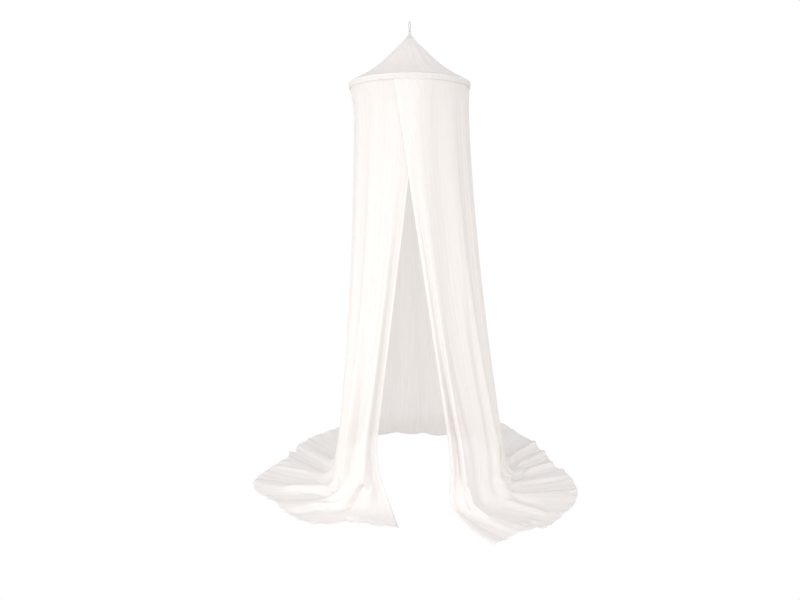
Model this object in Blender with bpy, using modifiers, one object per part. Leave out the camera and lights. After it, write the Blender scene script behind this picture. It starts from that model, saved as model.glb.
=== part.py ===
"""Hung bed canopy: a gathered cone of sheer cloth over a hoop, with one wall of cloth that crosses over at the
front, opens like a tent and trails on the floor.

Metres, +Z up. The origin is the hanging point, the inner top of the cord loop, and the floor lies
HOOK_HEIGHT below it. The front opening faces -Y.
"""

import math
from typing import NamedTuple

import bmesh
import bpy
import numpy as np

# Heights above the floor
HOOK_HEIGHT = 2.280
NECK_TOP_HEIGHT = 2.233
HOOP_HEIGHT = 1.970
WAIST_HEIGHT = 0.330

# Cloth and the gaps that pieces keep from each other
SHEET = 0.002
GAP = 0.0003
FLOOR_GAP = 0.0004

# Hoop and the strip of cloth folded over it
HOOP_RADIUS = 0.294
HOOP_TUBE_RADIUS = 0.005
CASING_CLOTH = 0.0015
CASING_DROP = 0.022
CASING_CROWN_STEPS = 6
CASING_MID_RADIUS = HOOP_TUBE_RADIUS + GAP + CASING_CLOTH / 2
CASING_BOTTOM_HEIGHT = HOOP_HEIGHT - CASING_DROP
ROUND_STEPS = 64
TUBE_STEPS = 8

# Cone
NECK_RADIUS_X = 0.0044
NECK_RADIUS_Y = 0.0028
NECK_LENGTH = 0.011
NECK_SHARE = 0.1
CONE_SAG_POWER = 0.75
CONE_GATHERS = 16
CONE_GATHER_DEPTH = 0.003
CONE_GATHER_POWER = 0.7
CONE_SPACING_POWER = 0.9
CONE_RIM_RADIUS = HOOP_RADIUS
CONE_RIM_HEIGHT = HOOP_HEIGHT + CASING_MID_RADIUS + CASING_CLOTH / 2 + GAP + SHEET / 2
CONE_COLUMNS = 4 * CONE_GATHERS
CONE_ROWS = 9

# Cord loop that the canopy hangs from
CORD_RADIUS = 0.0012
LOOP_HALF_GAP = 0.0030
LOOP_FOOT_GAP = 0.0005
LOOP_FOOT_HEIGHT = NECK_TOP_HEIGHT - 0.012
LOOP_TAPER_FROM = -0.75
LOOP_TAPER_SPAN = 1.1
LOOP_SQUARENESS = 0.5
LOOP_POINTS = 36

# Wall of cloth: the ring edge, the crossing at the front and the folds
WALL_LIFT = SHEET / 2 + FLOOR_GAP
WALL_TOP_HEIGHT = HOOP_HEIGHT - HOOP_TUBE_RADIUS - 2 * GAP - WALL_LIFT
PULL_IN = 0.014
PULL_IN_LEFT_EXTRA = 0.008
PULL_IN_DROP = 0.110
FLARE_POWER = 2.0
FLARE_POWER_LEFT_EXTRA = 0.4
EDGE_SHARE = 0.11
CROSSING_SHARE = 0.075
CROSSING_GAP_TOP = 0.0023
CROSSING_GAP = 0.0085
LAYERS_MEET_BELOW = 0.600
LAYERS_APART_ABOVE = 1.166
CALM_EDGE_FOLDS = 0.35
CALM_BELOW = 1.0
CALM_ABOVE = 1.5
COLUMNS_A_FOLD = 6
FOLD_DEPTH_TOP = 0.0006
FOLD_GROWTH_POWER = 0.8
FOLD_SHARE_ON_TRAIN = 0.55
FOLD_SHARE_AT_HEM = 0.28
FOLD_LIFT_FROM = 0.85
FOLD_LIFT_SPAN = 0.80
HANGING_ROWS = 10
HANGING_ROW_POWER = 1.25
BEND_ROWS = 5
TRAIN_ROWS = 5


class Station(NamedTuple):
    """One line down the wall: its place on the hoop, at the waist, where it meets the floor, and at the hem."""

    ring_deg: float
    waist_x: float
    waist_y: float
    foot_x: float
    foot_y: float
    hem_x: float
    hem_y: float
    bend: float


# Ring angles run from the front, -Y, by the left, -X, and the back to the front again, where the two edges cross
STATIONS = (
    Station(-11.0, -0.142, -0.300, -0.092, -0.285, -0.048, -0.511, 0.140),
    Station(6.0, -0.190, -0.312, -0.165, -0.318, -0.255, -0.481, 0.120),
    Station(16.0, -0.220, -0.312, -0.225, -0.322, -0.381, -0.492, 0.110),
    Station(29.0, -0.258, -0.297, -0.280, -0.306, -0.522, -0.419, 0.110),
    Station(42.0, -0.290, -0.268, -0.322, -0.270, -0.617, -0.298, 0.110),
    Station(60.0, -0.312, -0.205, -0.356, -0.200, -0.752, -0.129, 0.110),
    Station(78.0, -0.326, -0.125, -0.378, -0.105, -0.752, 0.075, 0.110),
    Station(92.0, -0.331, -0.045, -0.386, -0.015, -0.668, 0.238, 0.100),
    Station(115.0, -0.328, 0.120, -0.370, 0.170, -0.625, 0.490, 0.090),
    Station(141.0, -0.290, 0.320, -0.305, 0.410, -0.419, 0.751, 0.070),
    Station(162.0, -0.160, 0.440, -0.165, 0.590, -0.210, 0.890, 0.050),
    Station(179.0, 0.000, 0.460, 0.000, 0.608, 0.000, 0.940, 0.045),
    Station(203.0, 0.195, 0.440, 0.210, 0.568, 0.290, 0.950, 0.050),
    Station(226.0, 0.342, 0.355, 0.380, 0.465, 0.555, 0.880, 0.070),
    Station(246.0, 0.408, 0.225, 0.462, 0.290, 0.667, 0.671, 0.090),
    Station(269.0, 0.432, 0.060, 0.489, 0.085, 0.752, 0.403, 0.100),
    Station(285.0, 0.432, -0.050, 0.485, -0.045, 0.770, 0.190, 0.110),
    Station(304.0, 0.411, -0.160, 0.450, -0.165, 0.812, -0.038, 0.110),
    Station(324.0, 0.365, -0.240, 0.390, -0.255, 0.763, -0.263, 0.110),
    Station(343.0, 0.292, -0.290, 0.305, -0.315, 0.620, -0.470, 0.110),
    Station(360.0, 0.222, -0.308, 0.235, -0.330, 0.440, -0.575, 0.120),
    Station(375.0, 0.172, -0.300, 0.188, -0.292, 0.339, -0.653, 0.140),
)


class Ridge(NamedTuple):
    """The crest of one fold: its share of the way round the wall and half its depth at the waist."""

    share: float
    depth: float


# The first and last crests lie just past the free edges
RIDGES = (
    Ridge(-0.025, 0.009),
    Ridge(0.050, 0.015),
    Ridge(0.130, 0.017),
    Ridge(0.195, 0.012),
    Ridge(0.262, 0.010),
    Ridge(0.318, 0.012),
    Ridge(0.380, 0.009),
    Ridge(0.428, 0.008),
    Ridge(0.470, 0.007),
    Ridge(0.515, 0.008),
    Ridge(0.556, 0.007),
    Ridge(0.604, 0.009),
    Ridge(0.655, 0.010),
    Ridge(0.702, 0.012),
    Ridge(0.752, 0.011),
    Ridge(0.796, 0.013),
    Ridge(0.845, 0.017),
    Ridge(0.956, 0.015),
    Ridge(0.994, 0.009),
    Ridge(1.030, 0.009),
)


def height(above_floor):
    """A height above the floor as a place along Z."""
    return above_floor - HOOK_HEIGHT


def smooth_step(x):
    """0 below 0 and 1 above 1, with a smooth rise between."""
    x = np.clip(x, 0.0, 1.0)
    return x * x * (3.0 - 2.0 * x)


def between(places, known_places, known_values):
    """A smooth curve through known values, read at the places asked for."""
    known_places = np.asarray(known_places, float)
    known_values = np.asarray(known_values, float)
    slopes = np.gradient(known_values, known_places)
    i = np.clip(np.searchsorted(known_places, places) - 1, 0, len(known_places) - 2)
    span = known_places[i + 1] - known_places[i]
    t = (places - known_places[i]) / span
    start = (1 + 2 * t) * (1 - t) ** 2 * known_values[i] + t * (1 - t) ** 2 * span * slopes[i]
    end = t * t * (3 - 2 * t) * known_values[i + 1] + t * t * (t - 1) * span * slopes[i + 1]
    return start + end


def finish_material(name, colour, roughness):
    """A plain surface for one kind of piece."""
    material = bpy.data.materials.new(name)
    material.use_nodes = True
    shader = material.node_tree.nodes["Principled BSDF"]
    shader.inputs["Base Color"].default_value = (*colour, 1.0)
    shader.inputs["Roughness"].default_value = roughness
    shader.inputs["Metallic"].default_value = 0.0
    return material


def take_in(obj, name, material, collection):
    """Names an object, gives it its material and puts it in the canopy's collection."""
    obj.name = name
    obj.data.name = name
    obj.data.materials.clear()
    obj.data.materials.append(material)
    for holder in list(obj.users_collection):
        holder.objects.unlink(obj)
    collection.objects.link(obj)
    return obj


def thicken(obj, thickness):
    """Gives an open sheet its thickness, half on each side."""
    solidify = obj.modifiers.new("thickness", "SOLIDIFY")
    solidify.thickness = thickness
    solidify.offset = 0.0
    return obj


def sheet_of(columns, rows, place, closed=False):
    """A grid whose points go where place says, given arrays of shares across and along the cloth."""
    bpy.ops.mesh.primitive_grid_add(x_subdivisions=columns, y_subdivisions=rows, size=1.0)
    obj = bpy.context.active_object
    flat = np.array([vertex.co for vertex in obj.data.vertices])
    points = place(flat[:, 0] + 0.5, flat[:, 1] + 0.5)
    for vertex, point in zip(obj.data.vertices, points):
        vertex.co = point
    if closed:
        mesh = bmesh.new()
        mesh.from_mesh(obj.data)
        bmesh.ops.remove_doubles(mesh, verts=mesh.verts, dist=1e-5)
        mesh.to_mesh(obj.data)
        mesh.free()
    obj.data.shade_smooth()
    return obj


def make_hoop(material, collection):
    """The round tube that spreads the canopy."""
    bpy.ops.mesh.primitive_torus_add(
        major_radius=HOOP_RADIUS,
        minor_radius=HOOP_TUBE_RADIUS,
        major_segments=ROUND_STEPS,
        minor_segments=TUBE_STEPS,
        location=(0.0, 0.0, height(HOOP_HEIGHT)),
    )
    hoop = bpy.context.active_object
    hoop.data.shade_smooth()
    return take_in(hoop, "hoop", material, collection)


def make_casing(material, collection):
    """The strip of cloth folded over the hoop: down outside, and down again inside."""
    turns = np.linspace(math.pi, 0.0, CASING_CROWN_STEPS + 1)
    crown = [(CASING_MID_RADIUS * math.cos(turn), CASING_MID_RADIUS * math.sin(turn)) for turn in turns]
    profile = [(-CASING_MID_RADIUS, -CASING_DROP), *crown, (CASING_MID_RADIUS, -CASING_DROP)]
    points = [(HOOP_RADIUS + across, 0.0, height(HOOP_HEIGHT) + up) for across, up in profile]
    mesh = bpy.data.meshes.new("hoop_casing")
    mesh.from_pydata(points, [(i, i + 1) for i in range(len(points) - 1)], [])
    casing = bpy.data.objects.new("hoop_casing", mesh)
    turn = casing.modifiers.new("turn", "SCREW")
    turn.steps = ROUND_STEPS
    turn.render_steps = ROUND_STEPS
    turn.use_merge_vertices = True
    turn.merge_threshold = 0.0001
    thicken(casing, CASING_CLOTH)
    return take_in(casing, "hoop_casing", material, collection)


def cone_points(around, along):
    """The cone from its rim on the casing to its neck, sagging between the two, in soft gathers."""
    angle = 2 * math.pi * around
    slope = np.clip(along / (1.0 - NECK_SHARE), 0.0, 1.0)
    inwards = slope**CONE_SPACING_POWER
    radius_x = CONE_RIM_RADIUS + (NECK_RADIUS_X - CONE_RIM_RADIUS) * inwards
    radius_y = CONE_RIM_RADIUS + (NECK_RADIUS_Y - CONE_RIM_RADIUS) * inwards
    sag = 1.0 - (radius_x / CONE_RIM_RADIUS) ** CONE_SAG_POWER
    full_sag = 1.0 - (NECK_RADIUS_X / CONE_RIM_RADIUS) ** CONE_SAG_POWER
    slope_top = NECK_TOP_HEIGHT - NECK_LENGTH
    rise = CONE_RIM_HEIGHT + (slope_top - CONE_RIM_HEIGHT) * sag / full_sag
    rise += NECK_LENGTH * np.clip((along - 1.0 + NECK_SHARE) / NECK_SHARE, 0.0, 1.0)
    gathers = CONE_GATHER_DEPTH * np.sin(math.pi * slope) ** CONE_GATHER_POWER * np.cos(CONE_GATHERS * angle)
    rise += np.where(slope < 1.0, gathers, 0.0)
    return np.stack([radius_x * np.cos(angle), radius_y * np.sin(angle), height(rise)], axis=1)


def make_cone(material, collection):
    """The gathered cloth cone between the hoop and the loop."""
    cone = sheet_of(CONE_COLUMNS, CONE_ROWS, cone_points, closed=True)
    thicken(cone, SHEET)
    return take_in(cone, "cone_cloth", material, collection)


def make_loop(material, collection):
    """The closed cord loop: its foot is held in the cone's neck, and its inner top is the origin."""
    top = HOOK_HEIGHT + CORD_RADIUS
    middle = (top + LOOP_FOOT_HEIGHT) / 2
    half_length = (top - LOOP_FOOT_HEIGHT) / 2
    curve = bpy.data.curves.new("hanging_loop", "CURVE")
    curve.dimensions = "3D"
    curve.bevel_depth = CORD_RADIUS
    curve.bevel_resolution = 2
    spline = curve.splines.new("POLY")
    spline.points.add(LOOP_POINTS - 1)
    for i, point in enumerate(spline.points):
        angle = 2 * math.pi * i / LOOP_POINTS
        rise = math.cos(angle)
        widest = LOOP_HALF_GAP + CORD_RADIUS
        narrowest = LOOP_FOOT_GAP + CORD_RADIUS
        taper = float(smooth_step((rise - LOOP_TAPER_FROM) / LOOP_TAPER_SPAN))
        half_width = narrowest + (widest - narrowest) * taper
        across = math.copysign(half_width * abs(math.sin(angle)) ** LOOP_SQUARENESS, math.sin(angle))
        point.co = (across, 0.0, height(middle + half_length * rise), 1.0)
    spline.use_cyclic_u = True
    return take_in(bpy.data.objects.new("hanging_loop", curve), "hanging_loop", material, collection)


def column_shares():
    """Shares across the wall, the same number from crest to crest, and the fold's phase at each."""
    crests = [ridge.share for ridge in RIDGES]
    first, last = np.interp([0.0, 1.0], crests, range(len(crests)))
    turns = np.linspace(first, last, round((last - first) * COLUMNS_A_FOLD) + 1)
    return np.interp(turns, range(len(crests)), crests), 2 * math.pi * turns


def wall_lines(share):
    """The stations' sizes, read at shares across the wall."""
    ring = np.array([station.ring_deg for station in STATIONS])
    ring_deg = ring[0] + (ring[-1] - ring[0]) * share
    columns = np.array(STATIONS)[:, 1:].T
    return Station(ring_deg, *(between(ring_deg, ring, values) for values in columns))


def ring_place(line, share, rise):
    """Where each line would hang straight down from the hoop: drawn in under it, and in two layers at the front."""
    angle = np.radians(line.ring_deg)
    drawn_in = smooth_step((CASING_BOTTOM_HEIGHT - rise) / PULL_IN_DROP)
    pull = (PULL_IN + PULL_IN_LEFT_EXTRA * np.sin(angle)) * drawn_in
    from_edge = np.minimum(share, 1.0 - share)
    crossing = 1.0 - smooth_step((from_edge - CROSSING_SHARE) / (EDGE_SHARE - CROSSING_SHARE))
    apart = CROSSING_GAP_TOP + (CROSSING_GAP - CROSSING_GAP_TOP) * drawn_in
    apart *= smooth_step((rise - LAYERS_MEET_BELOW) / (LAYERS_APART_ABOVE - LAYERS_MEET_BELOW))
    layer = np.where(share < 0.5, -1.0, 1.0) * apart * crossing
    radius = HOOP_RADIUS - pull + layer
    return -radius * np.sin(angle), -radius * np.cos(angle)


def hang(ring_at, waist_at, foot_at, flare_power, rise):
    """One coordinate of the hanging cloth: a curve from the hoop to the waist, carried on to the foot."""
    to_waist = WALL_TOP_HEIGHT - WAIST_HEIGHT
    drop = (WALL_TOP_HEIGHT - rise) / to_waist
    past_waist = np.clip(drop - 1.0, 0.0, None)
    whole_past = WAIST_HEIGHT / to_waist
    slope = flare_power * (waist_at - ring_at)
    correction = foot_at - waist_at - slope * whole_past
    curve = ring_at + (waist_at - ring_at) * np.clip(drop, 0.0, 1.0) ** flare_power
    return curve + slope * past_waist + correction * (past_waist / whole_past) ** 2


def drape_base(share, stage):
    """Middle surface of the wall without folds. Stage 0 to 1 hangs, 1 to 2 bends and 2 to 3 lies on the floor."""
    line = wall_lines(share)
    on_side = smooth_step(np.minimum(share, 1.0 - share) / EDGE_SHARE)
    side_power = FLARE_POWER + FLARE_POWER_LEFT_EXTRA * np.sin(np.radians(line.ring_deg))
    flare_power = 1.0 + (side_power - 1.0) * on_side
    rise = WALL_TOP_HEIGHT + (line.bend - WALL_TOP_HEIGHT) * np.clip(stage, 0.0, 1.0)
    ring_x, ring_y = ring_place(line, share, rise)
    hung_x = hang(ring_x, line.waist_x, line.foot_x, flare_power, rise)
    hung_y = hang(ring_y, line.waist_y, line.foot_y, flare_power, rise)

    run = np.hypot(line.hem_x - line.foot_x, line.hem_y - line.foot_y)
    land_x = line.foot_x + (line.hem_x - line.foot_x) * line.bend / run
    land_y = line.foot_y + (line.hem_y - line.foot_y) * line.bend / run
    turned = np.clip(stage - 1.0, 0.0, 1.0)
    before, corner, after = (1 - turned) ** 2, 2 * turned * (1 - turned), turned**2
    lying = np.clip(stage - 2.0, 0.0, 1.0)
    x = before * hung_x + corner * line.foot_x + after * land_x + (line.hem_x - land_x) * lying
    y = before * hung_y + corner * line.foot_y + after * land_y + (line.hem_y - land_y) * lying
    return np.stack([x, y, before * rise], axis=-1)


def fold_depth(share, stage, rise):
    """Half the height of a fold from trough to ridge: deeper down the wall and in the legs, lower on the floor."""
    shares, depths = np.array(RIDGES).T
    at_waist = np.interp(share, shares, depths)
    down = np.clip((CASING_BOTTOM_HEIGHT - rise) / (CASING_BOTTOM_HEIGHT - WAIST_HEIGHT), 0.0, 1.0)
    hanging = FOLD_DEPTH_TOP + (at_waist - FOLD_DEPTH_TOP) * down**FOLD_GROWTH_POWER
    lying = np.interp(stage, [2.0, 3.0], [FOLD_SHARE_ON_TRAIN, FOLD_SHARE_AT_HEM]) * at_waist
    depth = hanging + (lying - hanging) * smooth_step(stage - 1.0)
    near_edge = 1.0 - smooth_step(np.minimum(share, 1.0 - share) / EDGE_SHARE)
    crossing_height = smooth_step((rise - CALM_BELOW) / (CALM_ABOVE - CALM_BELOW))
    return depth * (1.0 - (1.0 - CALM_EDGE_FOLDS) * near_edge * crossing_height)


def row_stages():
    """Stages of the rows: one where the wall leaves the casing, then further apart down the wall, bend and train."""
    tucked = (WALL_TOP_HEIGHT - CASING_BOTTOM_HEIGHT) / WALL_TOP_HEIGHT
    hanging = tucked + (1.0 - tucked) * np.linspace(0.0, 1.0, HANGING_ROWS) ** HANGING_ROW_POWER
    bend = 1.0 + np.linspace(0.0, 1.0, BEND_ROWS + 1)[1:]
    train = 2.0 + np.linspace(0.0, 1.0, TRAIN_ROWS + 1)[1:]
    return np.concatenate([[0.0], hanging, bend, train])


def wall_points(across, along):
    """The wall with its folds, for a grid of shares across and along the cloth."""
    shares, phases = column_shares()
    stages = row_stages()
    share, stage = np.meshgrid(shares, stages)
    base = drape_base(share, stage)
    sideways = np.gradient(base, axis=1)
    downwards = np.gradient(base, axis=0)
    outwards = np.cross(sideways, downwards)
    outwards /= np.linalg.norm(outwards, axis=-1, keepdims=True)
    lifted = smooth_step((stage - FOLD_LIFT_FROM) / FOLD_LIFT_SPAN)
    depth = fold_depth(share, stage, base[..., 2])
    points = base + outwards * (depth * (np.cos(phases) + lifted))[..., None]
    points[..., 2] = height(points[..., 2] + WALL_LIFT)
    column = np.rint(across * (len(shares) - 1)).astype(int)
    row = np.rint(along * (len(stages) - 1)).astype(int)
    return points[row, column]


def make_wall(material, collection):
    """The one sheet of cloth round the canopy."""
    wall = sheet_of(len(column_shares()[0]) - 1, len(row_stages()) - 1, wall_points)
    thicken(wall, SHEET)
    return take_in(wall, "wall_cloth", material, collection)


def main():
    for obj in list(bpy.data.objects):
        bpy.data.objects.remove(obj)
    canopy = bpy.data.collections.new("bed_canopy")
    bpy.context.scene.collection.children.link(canopy)
    cloth = finish_material("white_voile", (0.93, 0.91, 0.89), 0.85)
    band = finish_material("white_band", (0.94, 0.92, 0.90), 0.80)
    tube = finish_material("hoop_plastic", (0.88, 0.88, 0.86), 0.45)
    cord = finish_material("white_cord", (0.80, 0.80, 0.79), 0.75)
    make_hoop(tube, canopy)
    make_casing(band, canopy)
    make_cone(cloth, canopy)
    make_loop(cord, canopy)
    make_wall(cloth, canopy)


main()
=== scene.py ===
"""Looks of the bed canopy: a sheer white net wall hung from a hoop, a gathered cone above it and a cord loop.

Metres, +Z up. The origin is the inner top of the cord loop, the front opening faces -Y, and heights in the
tables are above the floor that the cloth trails on. The wall, the cone and the strip over the hoop follow the
same lines as their solids in the frame, with the finer pleats, creases, hems and stitches that cloth has.
"""

import logging
import math
from collections.abc import Sequence
from dataclasses import dataclass
from enum import Enum
from typing import NamedTuple

import bmesh
import bpy
import numpy as np
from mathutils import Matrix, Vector

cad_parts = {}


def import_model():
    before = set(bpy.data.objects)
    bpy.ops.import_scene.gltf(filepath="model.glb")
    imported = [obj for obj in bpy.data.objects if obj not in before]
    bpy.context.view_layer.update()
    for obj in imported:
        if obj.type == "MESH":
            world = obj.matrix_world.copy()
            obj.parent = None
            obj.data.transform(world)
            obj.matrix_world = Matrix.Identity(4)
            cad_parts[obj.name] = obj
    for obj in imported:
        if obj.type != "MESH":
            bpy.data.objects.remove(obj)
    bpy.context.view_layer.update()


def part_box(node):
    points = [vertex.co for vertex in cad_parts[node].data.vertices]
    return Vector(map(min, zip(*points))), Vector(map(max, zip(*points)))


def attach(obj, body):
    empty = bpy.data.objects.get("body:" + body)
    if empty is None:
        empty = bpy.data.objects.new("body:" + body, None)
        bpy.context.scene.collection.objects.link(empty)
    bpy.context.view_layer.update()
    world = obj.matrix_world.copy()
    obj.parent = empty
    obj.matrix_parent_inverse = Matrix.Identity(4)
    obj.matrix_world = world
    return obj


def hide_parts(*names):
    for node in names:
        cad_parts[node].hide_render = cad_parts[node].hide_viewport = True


LOG = logging.getLogger("bed_canopy")
BODY = "root"
Grid = np.ndarray
# How much of a unit vector lies along an axis that it nearly runs along
NEARLY_PARALLEL = 0.9


class Slot(Enum):
    """The record's material slots, named where rows of stitches are sewn but not given to any piece."""

    VOILE = "voile"
    BAND = "band"
    CORD = "cord"


class Hold(Enum):
    """The ways in which this canopy's sheets are held."""

    GATHERED = "gathered"
    FOLDED = "folded"


class Face(Enum):
    """The side of a sheet that a row of stitches lies on."""

    OUTER = 1.0
    INNER = -1.0


@dataclass(frozen=True)
class FrameSizes:
    """Sizes that the pieces share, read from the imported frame."""

    floor: float
    hoop_height: float
    hoop_radius: float
    tube_radius: float
    neck_top: float
    casing_bottom: float
    floor_gap: float = 0.0004
    gap: float = 0.0003
    solid_sheet: float = 0.002

    @classmethod
    def read(cls) -> "FrameSizes":
        """Measures the hoop, the wall, the cone and the casing in the frame.

        Returns:
            The shared sizes, with heights above the floor.
        """
        hoop_low, hoop_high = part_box("hoop")
        wall_low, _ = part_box("wall_cloth")
        casing_low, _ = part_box("hoop_casing")
        _, cone_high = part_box("cone_cloth")
        floor = wall_low.z - cls.floor_gap
        tube_radius = (hoop_high.z - hoop_low.z) / 2
        return cls(
            floor=floor,
            hoop_height=(hoop_high.z + hoop_low.z) / 2 - floor,
            hoop_radius=(hoop_high.x - hoop_low.x) / 2 - tube_radius,
            tube_radius=tube_radius,
            neck_top=cone_high.z - floor,
            casing_bottom=casing_low.z - floor,
        )


class Station(NamedTuple):
    """One line down the wall: its places on the hoop, at the waist, at the foot and at the hem."""

    ring_deg: float
    waist_x: float
    waist_y: float
    foot_x: float
    foot_y: float
    hem_x: float
    hem_y: float
    bend: float


# Ring angles run from the front, -Y, by the left, -X, and the back to the front again, where the edges cross
STATIONS = (
    Station(-11.0, -0.142, -0.300, -0.092, -0.285, -0.048, -0.511, 0.140),
    Station(6.0, -0.190, -0.312, -0.165, -0.318, -0.255, -0.481, 0.120),
    Station(16.0, -0.220, -0.312, -0.225, -0.322, -0.381, -0.492, 0.110),
    Station(29.0, -0.258, -0.297, -0.280, -0.306, -0.522, -0.419, 0.110),
    Station(42.0, -0.290, -0.268, -0.322, -0.270, -0.617, -0.298, 0.110),
    Station(60.0, -0.312, -0.205, -0.356, -0.200, -0.752, -0.129, 0.110),
    Station(78.0, -0.326, -0.125, -0.378, -0.105, -0.752, 0.075, 0.110),
    Station(92.0, -0.331, -0.045, -0.386, -0.015, -0.668, 0.238, 0.100),
    Station(115.0, -0.328, 0.120, -0.370, 0.170, -0.625, 0.490, 0.090),
    Station(141.0, -0.290, 0.320, -0.305, 0.410, -0.419, 0.751, 0.070),
    Station(162.0, -0.160, 0.440, -0.165, 0.590, -0.210, 0.890, 0.050),
    Station(179.0, 0.000, 0.460, 0.000, 0.608, 0.000, 0.940, 0.045),
    Station(203.0, 0.195, 0.440, 0.210, 0.568, 0.290, 0.950, 0.050),
    Station(226.0, 0.342, 0.355, 0.380, 0.465, 0.555, 0.880, 0.070),
    Station(246.0, 0.408, 0.225, 0.462, 0.290, 0.667, 0.671, 0.090),
    Station(269.0, 0.432, 0.060, 0.489, 0.085, 0.752, 0.403, 0.100),
    Station(285.0, 0.432, -0.050, 0.485, -0.045, 0.770, 0.190, 0.110),
    Station(304.0, 0.411, -0.160, 0.450, -0.165, 0.812, -0.038, 0.110),
    Station(324.0, 0.365, -0.240, 0.390, -0.255, 0.763, -0.263, 0.110),
    Station(343.0, 0.292, -0.290, 0.305, -0.315, 0.620, -0.470, 0.110),
    Station(360.0, 0.222, -0.308, 0.235, -0.330, 0.440, -0.575, 0.120),
    Station(375.0, 0.172, -0.300, 0.188, -0.292, 0.339, -0.653, 0.140),
)


class Ridge(NamedTuple):
    """The crest of one main fold: its share of the way round the wall and half its depth at the waist."""

    share: float
    depth: float


# The first and last crests lie just past the free edges
RIDGES = tuple(
    Ridge(*pair)
    for pair in (
        (-0.025, 0.009), (0.050, 0.015), (0.130, 0.017), (0.195, 0.012), (0.262, 0.010),
        (0.318, 0.012), (0.380, 0.009), (0.428, 0.008), (0.470, 0.007), (0.515, 0.008),
        (0.556, 0.007), (0.604, 0.009), (0.655, 0.010), (0.702, 0.012), (0.752, 0.011),
        (0.796, 0.013), (0.845, 0.017), (0.956, 0.015), (0.994, 0.009), (1.030, 0.009),
    )
)


class Reach(NamedTuple):
    """How far the hem lies past its even line, or short of it, at a share of the way round."""

    share: float
    metres: float


# The ragged line of the bottom hem
HEM_REACHES = tuple(
    Reach(*pair)
    for pair in (
        (0.000, 0.020), (0.013, 0.024), (0.025, 0.022), (0.043, 0.030), (0.058, 0.015),
        (0.071, 0.008), (0.091, 0.003), (0.120, 0.009), (0.141, 0.003), (0.179, 0.006),
        (0.193, 0.018), (0.215, 0.001), (0.244, -0.020), (0.274, -0.008), (0.288, 0.038),
        (0.295, -0.036), (0.309, -0.006), (0.331, -0.022), (0.348, -0.003), (0.376, -0.025),
        (0.395, -0.017), (0.450, 0.000), (0.620, -0.002), (0.659, -0.036), (0.680, -0.016),
        (0.697, -0.013), (0.715, -0.030), (0.743, -0.028), (0.774, -0.024), (0.784, 0.020),
        (0.794, -0.006), (0.817, 0.008), (0.843, 0.014), (0.869, 0.005), (0.888, 0.000),
        (0.910, -0.007), (0.931, 0.019), (0.941, 0.000), (0.947, 0.008), (0.954, 0.005),
        (0.965, 0.012), (1.000, 0.022),
    )
)


class Runs(Enum):
    """Which way a crease runs on the cloth."""

    DOWN = "down"
    ACROSS = "across"


class Crease(NamedTuple):
    """A listed crease: its height over the cloth, below 0 for a trough, its half width, and its line.

    A crease that runs down goes from stage start to stage end, and its line holds shares across the wall at
    evenly spaced stages. One that runs across goes from share start to share end, and its line holds stages.
    """

    rise: float
    half_width: float
    start: float
    end: float
    line: tuple[float, ...]
    runs: Runs = Runs.DOWN


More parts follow.
